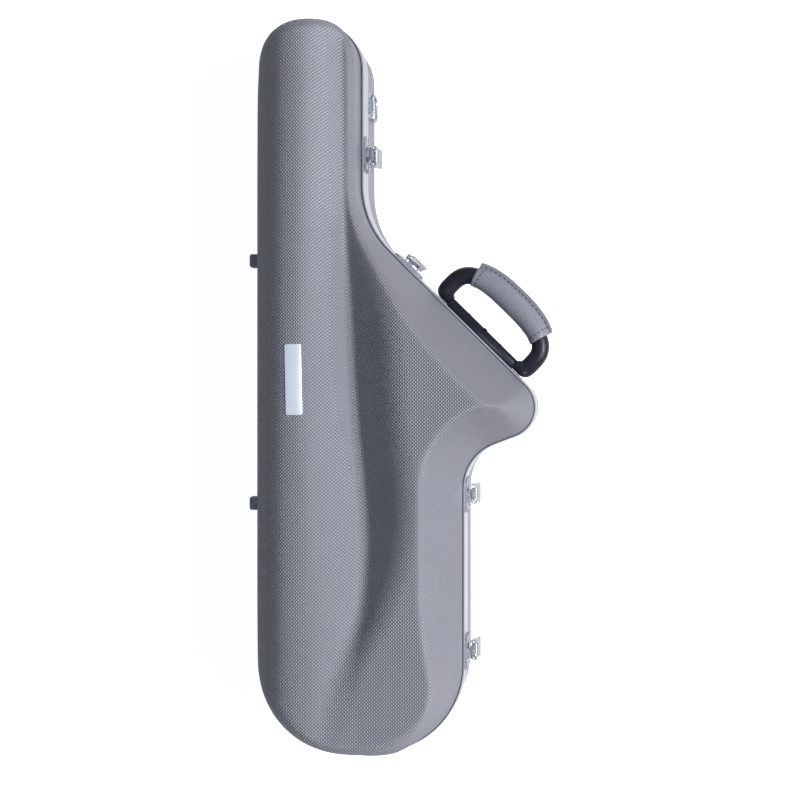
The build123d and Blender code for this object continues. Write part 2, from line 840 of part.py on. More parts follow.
latch_shank = plate_out - frame_seat_gap - frame_skin / 2
latch_rivets_at = []
catch_rivets_at = []
for name, place, outwards in latch_places:
    latch_rivets_at += latch_rivet_planes(place, outwards, pivot_z)
    catch_rivets_at += latch_rivet_planes(place, outwards, parting_z + catch_plate_drop)
    save(latch_plate(place, outwards), f"{name}_plate")
    save(Compound(children=latch_stubs(place, outwards)), f"{name}_pivot_stubs")
    save(latch_lever(place, outwards), f"{name}_lever")
    save(latch_link_pin(place, outwards), f"{name}_link_pin")
    save(latch_claw(place, outwards), f"{name}_claw")
    save(latch_catch(place, outwards), f"{name}_catch")

# Handle: a bar on the slanted rim carries two pins that the bow turns on
handle_point = Vector(neck_x, shoulder_y, 0) + slant * handle_along
handle_z = parting_z - handle_drop
handle_plane = Plane(
    origin=Vector(handle_point.X, handle_point.Y, handle_z) + slant_out * frame_out,
    x_dir=slant,
    z_dir=slant.cross(slant_out),
)

lug_inner = handle_bar_half_length - handle_lug_thickness
lug_middle = lug_inner + handle_lug_thickness / 2
with BuildPart() as handle_bar:
    with BuildSketch(handle_plane):
        with Locations((0, frame_seat_gap + handle_bar_thickness / 2)):
            Rectangle(2 * handle_bar_half_length, handle_bar_thickness)
    extrude(amount=handle_bar_width / 2, both=True)
    for side in (-1, 1):
        lug = Plane(
            origin=handle_plane.from_local_coords((side * lug_middle, 0, 0)),
            x_dir=slant_out,
            z_dir=slant,
        )
        with BuildSketch(lug):
            with Locations((handle_pivot_out, 0)):
                Circle(handle_lug_radius)
            with Locations(((handle_pivot_out + frame_seat_gap) / 2, 0)):
                Rectangle(handle_pivot_out - frame_seat_gap, 2 * handle_lug_radius)
            with Locations((handle_pivot_out, 0)):
                Circle(handle_pin_radius + pin_clearance, mode=Mode.SUBTRACT)
        extrude(amount=handle_lug_thickness / 2, both=True)
    for side in (-1, 1):
        spot = handle_plane.from_local_coords((side * handle_screw_place, 0, 0))
        with BuildSketch(Plane(origin=spot, x_dir=slant, z_dir=slant_out)):
            Circle(rivet_radius + pin_clearance)
        extrude(amount=handle_bar_thickness + overrun, mode=Mode.SUBTRACT)

handle_pins = []
for side in (-1, 1):
    middle = lug_inner + pin_clearance + handle_pin_length / 2
    spot = handle_plane.from_local_coords((side * middle, handle_pivot_out, 0))
    with BuildPart() as handle_pin:
        with BuildSketch(Plane(origin=spot, x_dir=slant_out, z_dir=slant)):
            Circle(handle_pin_radius)
        extrude(amount=handle_pin_length / 2, both=True)
    handle_pins.append(handle_pin.part.solid())

handle_screws_at = []
for side in (-1, 1):
    screw_spot = (side * handle_screw_place, frame_seat_gap + handle_bar_thickness, 0)
    spot = handle_plane.from_local_coords(screw_spot)
    handle_screws_at.append(Plane(origin=spot, x_dir=slant, z_dir=slant_out))
handle_screw_shank = handle_bar_thickness + frame_skin / 2

# The bow is one bent tube with ball feet that turn on the pins
bow_corners = [
    (-handle_half_span, handle_pivot_out),
    (-handle_half_bulge, handle_bulge_out),
    (-grip_half_length - handle_tube_radius, handle_shoulder_out - handle_shoulder_drop),
    (-grip_half_length * bow_arch_share, handle_arch_out - handle_arch_drop),
    (0, handle_arch_out),
    (grip_half_length * bow_arch_share, handle_arch_out - handle_arch_drop),
    (grip_half_length + handle_tube_radius, handle_shoulder_out - handle_shoulder_drop),
    (handle_half_bulge, handle_bulge_out),
    (handle_half_span, handle_pivot_out),
]
with BuildLine(handle_plane) as bow_path:
    FilletPolyline(*bow_corners, radius=handle_corner_radius)
bow_line = bow_path.wire()

with BuildPart() as handle_bow:
    with BuildSketch(Plane(origin=bow_line @ 0, z_dir=bow_line % 0)):
        Circle(handle_tube_radius)
    sweep(path=bow_path.wire())
    for side in (-1, 1):
        with Locations(handle_plane.from_local_coords((side * handle_half_span, handle_pivot_out, 0))):
            Sphere(handle_tube_radius)
    for side in (-1, 1):
        spot = handle_plane.from_local_coords((side * handle_half_span, handle_pivot_out, 0))
        with BuildSketch(Plane(origin=spot, x_dir=slant_out, z_dir=slant)):
            Circle(handle_pin_radius + pin_clearance)
        extrude(amount=2 * handle_tube_radius, both=True, mode=Mode.SUBTRACT)
        inner = side * (handle_bar_half_length + handle_foot_gap)
        spot = handle_plane.from_local_coords((inner, handle_pivot_out, 0))
        with BuildSketch(Plane(origin=spot, x_dir=slant_out, z_dir=slant)):
            Circle(handle_tube_radius + overrun)
        extrude(amount=-side * 2 * handle_tube_radius, mode=Mode.SUBTRACT)

# The leather grip is wrapped round the bow, with its sewn edge on the outside
grip_corners = [
    (-grip_half_length, handle_shoulder_out),
    (-grip_half_length * grip_arch_share, handle_arch_out - handle_arch_drop),
    (0, handle_arch_out),
    (grip_half_length * grip_arch_share, handle_arch_out - handle_arch_drop),
    (grip_half_length, handle_shoulder_out),
]
with BuildLine(handle_plane) as grip_path:
    FilletPolyline(*grip_corners, radius=grip_bend_radius)
grip_line = grip_path.wire()
with BuildPart() as handle_grip:
    with BuildSketch(Plane(origin=grip_line @ 0, x_dir=handle_plane.z_dir, z_dir=grip_line % 0)):
        Circle(grip_radius)
        with Locations((0, -grip_radius)):
            Rectangle(grip_flange_thickness, 2 * grip_flange_width)
    sweep(path=grip_path.wire())
    add(handle_bow.part, mode=Mode.SUBTRACT)


# Carrying rings: a plate with a knuckle on the wall, and a wire ring that hangs in it
ring_z = parting_z - ring_drop
ring_neck_y = shoulder_y + ring_neck_share * (top_y - shoulder_y)
ring_places = [
    ("ring_neck", (neck_x, ring_neck_y), across),
    ("ring_tail", (ring_tail_x, bottom_y), Vector(0, -1, 0)),
]
ring_radii = 2 * [ring_bar_corner_radius] + 2 * [ring_corner_radius]
ring_rivet_place = ring_half_width - ring_ear_radius
ring_rivets_at = []
for name, place, outwards in ring_places:
    wall = rim_plane(place, outwards, frame_seat_gap, ring_z)
    knuckle = side_plane(place, outwards, frame_seat_gap, ring_z)
    with BuildPart() as ring_bracket:
        with BuildSketch(wall):
            with Locations((0, ring_plate_height / 2 - ring_ear_radius)):
                RectangleRounded(ring_plate_length, ring_plate_height, ring_ear_radius)
        extrude(amount=ring_plate_thickness)
        with BuildSketch(knuckle):
            with Locations((ring_axis_out, 0)):
                Circle(ring_ear_radius)
            with Locations((ring_axis_out / 2, 0)):
                Rectangle(ring_axis_out, 2 * ring_ear_radius)
        extrude(amount=ring_ear_length, both=True)
        with BuildSketch(knuckle):
            with Locations((ring_axis_out, 0)):
                Circle(ring_wire_radius + pin_clearance)
        extrude(amount=2 * ring_ear_length, both=True, mode=Mode.SUBTRACT)
        with BuildSketch(wall):
            for side in (-1, 1):
                with Locations((side * ring_rivet_place, ring_plate_height / 2)):
                    Circle(rivet_radius + pin_clearance)
        extrude(amount=overrun, mode=Mode.SUBTRACT)
    save(ring_bracket.part, f"{name}_bracket")

    hang = rim_plane(place, outwards, frame_seat_gap + ring_axis_out, ring_z)
    with BuildLine(hang) as ring_path:
        FilletPolyline(
            (-ring_half_width, 0),
            (ring_half_width, 0),
            (ring_half_width, -ring_length),
            (-ring_half_width, -ring_length),
            radius=ring_radii,
            close=True,
        )
    ring_line = ring_path.wire()
    with BuildPart() as ring:
        with BuildSketch(Plane(origin=ring_line @ 0, z_dir=ring_line % 0)):
            Circle(ring_wire_radius)
        sweep(path=ring_path.wire())
    save(ring.part, name)
    for side in (-1, 1):
        head_spot = (side * ring_rivet_place, ring_plate_height / 2, ring_plate_thickness)
        spot = wall.from_local_coords(head_spot)
        ring_rivets_at.append(Plane(origin=spot, x_dir=wall.x_dir, z_dir=outwards))
ring_shank = ring_plate_thickness + frame_seat_gap + shell_wall / 2


def drill_bits(planes, shank):
    """Cylinders for the holes that the shanks of rivets sit in."""
    with BuildPart() as bits:
        for spot in planes:
            with BuildSketch(spot):
                Circle(rivet_radius + pin_clearance)
            extrude(amount=-shank - pin_clearance)
    return bits.part


def rivet_group(planes, shank, head_radius=rivet_head_radius):
    """All rivets of one kind as a group of separate solids."""
    return Compound(children=[rivet(spot, shank, head_radius).solid() for spot in planes])


with BuildPart() as lid_frame_drilled:
    add(lid_frame.part)
    add(drill_bits(catch_rivets_at, latch_shank), mode=Mode.SUBTRACT)
    add(drill_bits(lid_hinge_rivet_planes, hinge_shank), mode=Mode.SUBTRACT)

with BuildPart() as base_frame_drilled:
    add(base_frame.part)
    add(drill_bits(latch_rivets_at, latch_shank), mode=Mode.SUBTRACT)
    add(drill_bits(base_hinge_rivet_planes, hinge_shank), mode=Mode.SUBTRACT)
    add(drill_bits(handle_screws_at, handle_screw_shank), mode=Mode.SUBTRACT)

with BuildPart() as base_shell_drilled:
    add(base_shell.part)
    add(drill_bits(ring_rivets_at, ring_shank), mode=Mode.SUBTRACT)


# Rubber feet on the spine wall, two on each half
def spine_feet(level):
    """Two rounded rubber blocks at one level."""
    feet = []
    for share in (foot_upper_share, foot_lower_share):
        center_y = case_length * share
        with BuildPart() as foot:
            with BuildSketch(Plane(origin=(spine_x, center_y, level), z_dir=(-1, 0, 0))):
                RectangleRounded(foot_height, foot_length, foot_corner_radius)
            extrude(amount=foot_reach)
            fillet(foot.faces().sort_by(Axis.X)[0].edges(), foot_edge_radius)
        feet.append(foot.part.solid())
    return Compound(children=feet)


def lid_height_at(x, y):
    """Height of the lid's outer surface at a point."""
    columns = [np.interp(y, grid_y, lid_surface[i]) for i in range(grid_columns + 1)]
    return float(np.interp(x, grid_x, columns))


# The bare name plate lies flat on the lid, and its back follows the surface
plate_slope = lid_height_at(plate_x + plate_width / 2, plate_y) - lid_height_at(
    plate_x - plate_width / 2, plate_y
)
plate_normal = Vector(-plate_slope / plate_width, 0, 1).normalized()
plate_origin = Vector(plate_x, plate_y, lid_height_at(plate_x, plate_y))
plate_plane = Plane(
    origin=plate_origin + plate_normal * plate_thickness, x_dir=(0, 1, 0), z_dir=plate_normal
)
with BuildPart() as name_plate:
    with BuildSketch(plate_plane):
        Rectangle(plate_length, plate_width)
    extrude(amount=-plate_sink)
    chamfer(name_plate.edges().group_by(Axis.Z)[-1], plate_bevel)
    add(Location((0, 0, plate_seat_gap)) * lid_solid, mode=Mode.SUBTRACT)

save(base_shell_drilled.part, "base_shell")
save(base_frame_drilled.part, "base_frame")
save(base_bead.part, "base_bead")
save(frame_seal.part, "frame_seal")
save(base_foam.part, "base_foam")
save(neck_cradle, "neck_cradle")
save(bow_cradle, "bow_cradle")
save(bell_divider.part, "bell_divider")
save(lid_shell.part, "lid_shell")
save(lid_frame_drilled.part, "lid_frame")
save(lid_bead.part, "lid_bead")
save(lid_foam.part, "lid_foam")
save(name_plate.part, "name_plate")
save(hinge_neck_base_leaf, "hinge_neck_base_leaf")
save(hinge_neck_lid_leaf, "hinge_neck_lid_leaf")
save(hinge_neck_pin, "hinge_neck_pin")
save(hinge_tail_base_leaf, "hinge_tail_base_leaf")
save(hinge_tail_lid_leaf, "hinge_tail_lid_leaf")
save(hinge_tail_pin, "hinge_tail_pin")
save(rivet_group(lid_hinge_rivet_planes, hinge_shank), "lid_hinge_rivets")
save(rivet_group(base_hinge_rivet_planes, hinge_shank), "base_hinge_rivets")
save(rivet_group(latch_rivets_at, latch_shank), "latch_rivets")
save(rivet_group(catch_rivets_at, latch_shank), "catch_rivets")
save(rivet_group(ring_rivets_at, ring_shank), "ring_rivets")
save(rivet_group(handle_screws_at, handle_screw_shank, handle_screw_radius), "handle_screws")
save(Compound(children=handle_pins), "handle_pins")
save(handle_bar.part, "handle_bar")
save(handle_bow.part, "handle_bow")
save(handle_grip.part, "handle_grip")
save(spine_feet(parting_z + foot_lid_height), "lid_spine_feet")
save(spine_feet(parting_z - foot_base_drop), "base_spine_feet")
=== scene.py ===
# %% [markdown]
# # A tenor saxophone case
# This lesson dresses the CAD model of a hard case: two grey embossed shells that meet in an
# aluminium frame, chrome draw latches, black hinges, rubber feet, a stitched leather grip on a
# black bow, and a plush lining inside. The CAD model is loaded first and stays where it is, so
# every new piece takes its place from it. The scene is in metres. Most values here are in
# millimetres and are brought to metres by MM. The case lies on its back.

import json
from math import cos, pi, radians, sin, tan

import bmesh
import bpy
import numpy as np
from mathutils import Matrix, Vector


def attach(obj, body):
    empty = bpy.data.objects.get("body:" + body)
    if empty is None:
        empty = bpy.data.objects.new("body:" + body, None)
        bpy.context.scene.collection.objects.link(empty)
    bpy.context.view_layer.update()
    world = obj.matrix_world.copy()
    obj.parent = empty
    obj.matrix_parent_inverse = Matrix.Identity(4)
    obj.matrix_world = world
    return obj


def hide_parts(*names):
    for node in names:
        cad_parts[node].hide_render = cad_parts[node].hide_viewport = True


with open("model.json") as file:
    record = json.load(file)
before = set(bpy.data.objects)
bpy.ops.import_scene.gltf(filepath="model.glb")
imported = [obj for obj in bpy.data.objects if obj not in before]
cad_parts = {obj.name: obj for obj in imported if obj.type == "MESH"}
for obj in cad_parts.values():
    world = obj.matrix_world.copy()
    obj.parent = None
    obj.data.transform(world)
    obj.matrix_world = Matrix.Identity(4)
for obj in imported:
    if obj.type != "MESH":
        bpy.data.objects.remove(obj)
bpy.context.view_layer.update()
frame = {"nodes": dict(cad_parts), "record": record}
nodes = frame["nodes"]
MM = 0.001

# %% [markdown]
# ## Camera
# The photograph looks straight at the lid, from a little to the right. A long lens a metre and a
# half away keeps its perspective weak. The camera hangs over the case, with the neck end at the top
# of the picture.

# %% Camera
TARGET = Vector((39.3, -15.3, 98.0)) * MM
CAMERA_DISTANCE = 1.5
CAMERA_YAW = radians(10)
FIELD_WIDTH = 0.907
SENSOR = 36.0

camera_data = bpy.data.cameras.new("camera")
camera_data.sensor_width = SENSOR
camera_data.lens = SENSOR * CAMERA_DISTANCE / FIELD_WIDTH
camera = bpy.data.objects.new("camera", camera_data)
bpy.context.scene.collection.objects.link(camera)
camera_back = Vector((sin(CAMERA_YAW), 0, cos(CAMERA_YAW)))
camera_right = Vector((cos(CAMERA_YAW), 0, -sin(CAMERA_YAW)))
camera_up = camera_back.cross(camera_right)
camera.matrix_world = Matrix.Translation(TARGET + camera_back * CAMERA_DISTANCE) @ Matrix(
    (camera_right, camera_up, camera_back)
).transposed().to_4x4()
bpy.context.scene.camera = camera
print("camera at", [round(v, 3) for v in camera.matrix_world.translation])

# %% [markdown]
# ## Studio
# The floor and the background are plain and pale. One broad light from the right shapes the ridge
# and the bell side. The world fills the shadows only faintly, but metal mirrors it as a bright
# room and the camera sees it as white paper.

# %% Light
LIGHT_DIRECTION = (1.0, -0.05, 0.87)
LIGHT_DISTANCE, LIGHT_SIZE, LIGHT_POWER = 2.6, 1.3, 80

bpy.context.scene.view_settings.view_transform = "Standard"
light_data = bpy.data.lights.new("right_softbox", "AREA")
light_data.size = LIGHT_SIZE
light_data.energy = LIGHT_POWER
softbox = bpy.data.objects.new("right_softbox", light_data)
bpy.context.scene.collection.objects.link(softbox)
towards_light = Vector(LIGHT_DIRECTION).normalized()
softbox.location = TARGET + towards_light * LIGHT_DISTANCE
softbox.rotation_mode = "QUATERNION"
softbox.rotation_quaternion = towards_light.to_track_quat("Z", "Y")
print("light at", [round(v, 2) for v in softbox.location])

# %% World
WORLD_TINT = (0.8, 0.87, 1.0, 1.0)
WORLD_FILL, WORLD_MIRRORED, WORLD_SEEN = 0.1, 0.75, 1.3

world = bpy.data.worlds.new("studio")
bpy.context.scene.world = world
world.use_nodes = True
sky = world.node_tree
background = sky.nodes["Background"]
background.inputs["Color"].default_value = WORLD_TINT
ray = sky.nodes.new("ShaderNodeLightPath")
room = sky.nodes.new("ShaderNodeMapRange")
room.inputs["To Min"].default_value = WORLD_FILL
room.inputs["To Max"].default_value = WORLD_MIRRORED
sky.links.new(ray.outputs["Is Glossy Ray"], room.inputs["Value"])
seen = sky.nodes.new("ShaderNodeMath")
seen.operation = "MULTIPLY_ADD"
seen.inputs[1].default_value = WORLD_SEEN
sky.links.new(ray.outputs["Is Camera Ray"], seen.inputs[0])
sky.links.new(room.outputs[0], seen.inputs[2])
sky.links.new(seen.outputs[0], background.inputs["Strength"])
print("world nodes", len(sky.nodes))

# %% Floor
FLOOR_SIZE = 12.0

floor_mesh = bmesh.new()
bmesh.ops.create_grid(floor_mesh, x_segments=2, y_segments=2, size=FLOOR_SIZE / 2)
floor_data = bpy.data.meshes.new("floor")
floor_mesh.to_mesh(floor_data)
floor_mesh.free()
floor = bpy.data.objects.new("floor", floor_data)
bpy.context.scene.collection.objects.link(floor)
print("floor", FLOOR_SIZE, "m wide")

# %% [markdown]
# ## Building materials
# Every material is a small node tree. A few helpers add a node with its values, join sockets and
# place the nodes that nearly every finish needs, so the cells that follow read like a parts list.


# %% Node helpers
def add_node(tree, kind, **values):
    """A node with its properties and its unlinked inputs set by name."""
    node = tree.nodes.new(kind)
    for name, value in values.items():
        if hasattr(node, name):
            setattr(node, name, value)
        else:
            node.inputs[name.replace("_", " ")].default_value = value
    return node


def join(tree, source, target):
    """Feed an input socket from an output socket, or set it to a plain value."""
    if hasattr(source, "is_output"):
        tree.links.new(source, target)
    else:
        target.default_value = source


def math_node(tree, operation, *values):
    """A Math node fed by sockets or numbers; gives its output."""
    node = add_node(tree, "ShaderNodeMath", operation=operation)
    for value, socket in zip(values, node.inputs):
        join(tree, value, socket)
    return node.outputs[0]


def ranged(tree, value, **limits):
    """A value carried over from one range to another; gives the new value."""
    node = add_node(tree, "ShaderNodeMapRange", **limits)
    join(tree, value, node.inputs["Value"])
    return node.outputs[0]


MIX_SOCKETS = {"FLOAT": (2, 3, 0), "RGBA": (6, 7, 2)}


def mixed(tree, factor, first, second, data_type="RGBA", **values):
    """Two colours or numbers mixed by a factor; gives the result."""
    node = add_node(tree, "ShaderNodeMix", data_type=data_type, **values)
    low, high, result = MIX_SOCKETS[data_type]
    join(tree, factor, node.inputs[0])
    join(tree, first, node.inputs[low])
    join(tree, second, node.inputs[high])
    return node.outputs[result]


def textured(tree, kind, **values):
    """A texture or a Mapping node that reads the piece's own coordinates."""
    place = add_node(tree, "ShaderNodeTexCoord")
    node = add_node(tree, kind, **values)
    join(tree, place.outputs["Object"], node.inputs["Vector"])
    return node


def emboss(tree, shader, height, strength, depth):
    """Give a shader the relief of a height."""
    bump = add_node(tree, "ShaderNodeBump", Strength=strength, Distance=depth)
    join(tree, height, bump.inputs["Height"])
    join(tree, bump.outputs["Normal"], shader.inputs["Normal"])


def new_material(name):
    """A material with its Principled shader, ready for more nodes."""
    material = bpy.data.materials.new(name)
    material.use_nodes = True
    tree = material.node_tree
    return material, tree, tree.nodes["Principled BSDF"]


print("mix sockets", MIX_SOCKETS)

# %% [markdown]
# ## Shared effects
# Every finish varies a little in tone, and all but the leather and the plush get rubbed. Each such
# effect is one node group with named inputs, built once and placed in each material with its own
# values.


# %% Cloudy tone
def new_group(name, inputs, output, kind):
    """An empty node group with its named inputs and its one output."""
    group = bpy.data.node_groups.new(name, "ShaderNodeTree")
    for label, input_kind, value in inputs:
        socket = group.interface.new_socket(label, in_out="INPUT", socket_type=input_kind)
        socket.default_value = value
    group.interface.new_socket(output, in_out="OUTPUT", socket_type=kind)
    return group, group.nodes.new("NodeGroupInput"), group.nodes.new("NodeGroupOutput")


def place_group(tree, group, **values):
    """A node group placed in a material with its own values; gives its output."""
    node = tree.nodes.new("ShaderNodeGroup")
    node.node_tree = group
    for name, value in values.items():
        node.inputs[name].default_value = value
    return node.outputs[0]


def cloudy_tone_group():
    """Two colours mixed by a soft noise over the piece."""
    group, inside, outside = new_group(
        "cloudy tone",
        [
            ("Dark", "NodeSocketColor", (0.1, 0.1, 0.1, 1)),
            ("Light", "NodeSocketColor", (0.2, 0.2, 0.2, 1)),
            ("Scale", "NodeSocketFloat", 20.0),
        ],
        "Color",
        "NodeSocketColor",
    )
    noise = textured(group, "ShaderNodeTexNoise", Detail=4.0, Roughness=0.6)
    join(group, inside.outputs["Scale"], noise.inputs["Scale"])
    tone = mixed(group, noise.outputs["Fac"], inside.outputs["Dark"], inside.outputs["Light"])
    join(group, tone, outside.inputs["Color"])
    return group


cloudy_tone = cloudy_tone_group()
print("group", cloudy_tone.name)

# %% [markdown]
# A case that travels gets rubbed. Short scratches show only where a second, wider noise says that
# something has brushed past, so they come in patches and most of each piece stays clean.

# %% Scuffs
SCUFF_TURN, SCUFF_SQUEEZE = (0.3, 0.2, 0.9), (60.0, 6.0, 25.0)
PATCH_SCALE = 11.0
SCUFF_EDGE = 0.06


def scuffs_group():
    """A mask of short scratches that come in patches."""
    group, inside, outside = new_group(
        "scuffs",
        [("Scale", "NodeSocketFloat", 10.0), ("Least", "NodeSocketFloat", 0.6)],
        "Mask",
        "NodeSocketFloat",
    )
    lean = textured(group, "ShaderNodeMapping", Rotation=SCUFF_TURN, Scale=SCUFF_SQUEEZE)
    streaks = add_node(group, "ShaderNodeTexNoise", Detail=2.0)
    join(group, lean.outputs["Vector"], streaks.inputs["Vector"])
    join(group, inside.outputs["Scale"], streaks.inputs["Scale"])
    patches = textured(group, "ShaderNodeTexNoise", Scale=PATCH_SCALE, Detail=2.0)
    found = []
    for noise in (streaks, patches):
        over = math_node(group, "SUBTRACT", noise.outputs["Fac"], inside.outputs["Least"])
        found.append(ranged(group, over, From_Min=-SCUFF_EDGE, From_Max=SCUFF_EDGE))
    join(group, math_node(group, "MULTIPLY", *found), outside.inputs["Mask"])
    return group


scuffs = scuffs_group()
print("group", scuffs.name)

# %% [markdown]
# The shells are moulded from a sheet embossed with a fine diagonal grid. Two crossing waves give
# its little pillows. The waves read the object's coordinates from above on the top, and from the
# side on the walls, where a view from above would stretch them.

# %% Embossed grid
TOP_LEAST = 0.6


def embossed_grid_group():
    """Height of a diagonal grid of pillows, from above and on the walls."""
    group, inside, outside = new_group(
        "embossed grid", [("Pitch", "NodeSocketFloat", 0.0035)], "Height", "NodeSocketFloat"
    )
    place = add_node(group, "ShaderNodeTexCoord")
    spot = add_node(group, "ShaderNodeSeparateXYZ")
    join(group, place.outputs["Object"], spot.inputs[0])
    facing = add_node(group, "ShaderNodeSeparateXYZ")
    join(group, place.outputs["Normal"], facing.inputs[0])

    def pillows(across, along):
        """The lower of a rising and a falling wave, from 0 in the grooves to 1."""
        waves = []
        for operation in ("ADD", "SUBTRACT"):
            slanted = math_node(group, operation, across, along)
            steps = math_node(group, "DIVIDE", slanted, inside.outputs["Pitch"])
            waves.append(math_node(group, "PINGPONG", steps, 0.5))
        return math_node(group, "MULTIPLY", math_node(group, "MINIMUM", *waves), 2.0)

    sideways, lengthways, upwards = [math_node(group, "ABSOLUTE", part) for part in facing.outputs]
    is_top = math_node(group, "GREATER_THAN", upwards, TOP_LEAST)
    is_side = math_node(group, "GREATER_THAN", sideways, lengthways)
    x, y, z = spot.outputs
    walls = mixed(group, is_side, pillows(x, z), pillows(y, z), "FLOAT")
    both = mixed(group, is_top, walls, pillows(x, y), "FLOAT")
    join(group, both, outside.inputs["Height"])
    return group


embossed_grid = embossed_grid_group()
print("group", embossed_grid.name)

# %% [markdown]
# ## The shells' material
# The sheet is satin grey plastic, with painted shade in the grooves of the grid. Where the sheet
# was drawn out most in the mould, on the flange, the grid is nearly flat. An attribute of the lid's
# mesh says where that is, and it fades the grid there, while an even painted shade keeps the tone
# as dark as on the grid.

# %% Shell material
SHELL_DARK, SHELL_LIGHT = (0.42, 0.43, 0.5, 1), (0.49, 0.5, 0.575, 1)
GROOVE_SHADE_COLOR, RUBBED_COLOR = (0.12, 0.12, 0.15, 1), (0.34, 0.35, 0.38, 1)
GRID_SPACING = 3.7 * MM
GRID_STRENGTH, GRID_DEPTH = 1.0, 1.1 * MM
GRID_LEAST = 0.15
GROOVE_WIDTH, GROOVE_SHADE = 0.45, 0.8
SMOOTH_SHADE = 0.64
RUBBING = 0.35


def shell_material(name, masked):
    """Satin grey sheet with the embossed grid, which fades where an attribute says so."""
    material, tree, shader = new_material(name)
    tone = place_group(tree, cloudy_tone, Dark=SHELL_DARK, Light=SHELL_LIGHT, Scale=14.0)
    height = place_group(tree, embossed_grid, Pitch=GRID_SPACING)
    if masked:
        depth = add_node(tree, "ShaderNodeAttribute", attribute_name="grid_depth").outputs["Fac"]
        height = math_node(tree, "MULTIPLY", height, ranged(tree, depth, To_Min=GRID_LEAST))
    emboss(tree, shader, height, GRID_STRENGTH, GRID_DEPTH)
    # Painted shade: the grooves are darkened, and on the flange an even painted shade takes their
    # place.
    shade = ranged(tree, height, From_Max=GROOVE_WIDTH, To_Min=GROOVE_SHADE, To_Max=0.0)
    if masked:
        plain = ranged(tree, depth, To_Min=SMOOTH_SHADE, To_Max=0.0)
        shade = math_node(tree, "ADD", math_node(tree, "MULTIPLY", shade, depth), plain)
    shaded = mixed(tree, shade, tone, GROOVE_SHADE_COLOR, blend_type="MULTIPLY")
    rub = place_group(tree, scuffs, Scale=9.0, Least=0.62)
    rubbed = mixed(tree, math_node(tree, "MULTIPLY", rub, RUBBING), shaded, RUBBED_COLOR)
    join(tree, rubbed, shader.inputs["Base Color"])
    join(tree, ranged(tree, rub, To_Min=0.42, To_Max=0.6), shader.inputs["Roughness"])
    return material


grey_shell = shell_material("grey_shell", True)
base_grey = shell_material("base_grey", False)
print("material", grey_shell.name, base_grey.name)

# %% [markdown]
# ## Metals
# A metal takes its look from what it mirrors, so its finish is all in the roughness. The frame and
# the label plate are brushed: a noise that is squeezed across the brushing draws the fine lines.
# The latches are chromed, with a faint haze of handling and a few scratches. Their claws are dark
# steel.

# %% Metals
HAZE_SCALE = 400.0
LINE_SCALE, LINE_STRENGTH, LINE_DEPTH = 60.0, 0.35, 0.03 * MM
DULLED = 0.86
SCRATCHED = 0.18


def metal(name, color, roughness, spread, lines=None, metallic=1.0):
    """A metal with fine lines or haze in its roughness, and patches of scratches."""
    material, tree, shader = new_material(name)
    squeeze = textured(tree, "ShaderNodeMapping", Scale=lines or (1, 1, 1))
    noise = add_node(
        tree, "ShaderNodeTexNoise", Scale=LINE_SCALE if lines else HAZE_SCALE, Detail=4.0
    )
    join(tree, squeeze.outputs["Vector"], noise.inputs["Vector"])
    haze = noise.outputs["Fac"]
    span = ranged(tree, haze, To_Min=roughness - spread, To_Max=roughness + spread)
    rub = place_group(tree, scuffs, Scale=14.0, Least=0.6)
    worn = math_node(tree, "MULTIPLY", rub, SCRATCHED)
    join(tree, math_node(tree, "ADD", span, worn), shader.inputs["Roughness"])
    dark = [c * DULLED for c in color]
    tone = place_group(tree, cloudy_tone, Dark=(*dark, 1), Light=(*color, 1), Scale=60.0)
    join(tree, tone, shader.inputs["Base Color"])
    if lines:
        emboss(tree, shader, haze, LINE_STRENGTH, LINE_DEPTH)
    shader.inputs["Metallic"].default_value = metallic
    return material


aluminium = metal(
    "aluminium", (0.66, 0.68, 0.74), 0.36, 0.08, lines=(1, 1, 30), metallic=0.85
)
chrome = metal("chrome", (0.56, 0.58, 0.63), 0.27, 0.06)
steel = metal("steel", (0.6, 0.61, 0.63), 0.3, 0.08)
dark_steel = metal("dark_steel", (0.2, 0.21, 0.24), 0.34, 0.08)
brushed = metal("brushed_plate", (0.9, 0.93, 1.0), 0.45, 0.1, lines=(40, 1, 40), metallic=0.8)
print("metals", aluminium.name, chrome.name, steel.name, dark_steel.name, brushed.name)

# %% [markdown]
# ## Rubber, plastic and paint
# These are not metals, so their colour is their own and the grain is in the bump, except that the
# feet are painted lighter than their dark grey rubber, a painted light that lifts them out of the
# shade they lie in. The hinges are painted and have lost some paint where they rub. Everything else
# only turns lighter there.

# %% Moulded materials
MOULDED_GRAIN, MOULDED_RELIEF = 1500.0, 0.4
MOULDED_WEAR, WORN_LIGHTER, WORN_ROUGHER = 0.5, 3, 0.2


def moulded(name, dark, light, roughness, grain=0.05, bare=None, specular=0.5):
    """A moulded plastic, rubber or paint with a fine grain, and bare spots if it is paint."""
    material, tree, shader = new_material(name)
    tone = place_group(tree, cloudy_tone, Dark=(*dark, 1), Light=(*light, 1), Scale=50.0)
    rub = place_group(tree, scuffs, Scale=12.0, Least=0.58)
    under = bare or [WORN_LIGHTER * c for c in light]
    worn = mixed(tree, math_node(tree, "MULTIPLY", rub, MOULDED_WEAR), tone, (*under, 1))
    join(tree, worn, shader.inputs["Base Color"])
    noise = textured(tree, "ShaderNodeTexNoise", Scale=MOULDED_GRAIN, Detail=2.0)
    emboss(tree, shader, noise.outputs["Fac"], MOULDED_RELIEF, grain * MM)
    gloss = ranged(tree, rub, To_Min=roughness, To_Max=roughness + WORN_ROUGHER)
    join(tree, gloss, shader.inputs["Roughness"])
    shader.inputs["Specular IOR Level"].default_value = specular
    return material


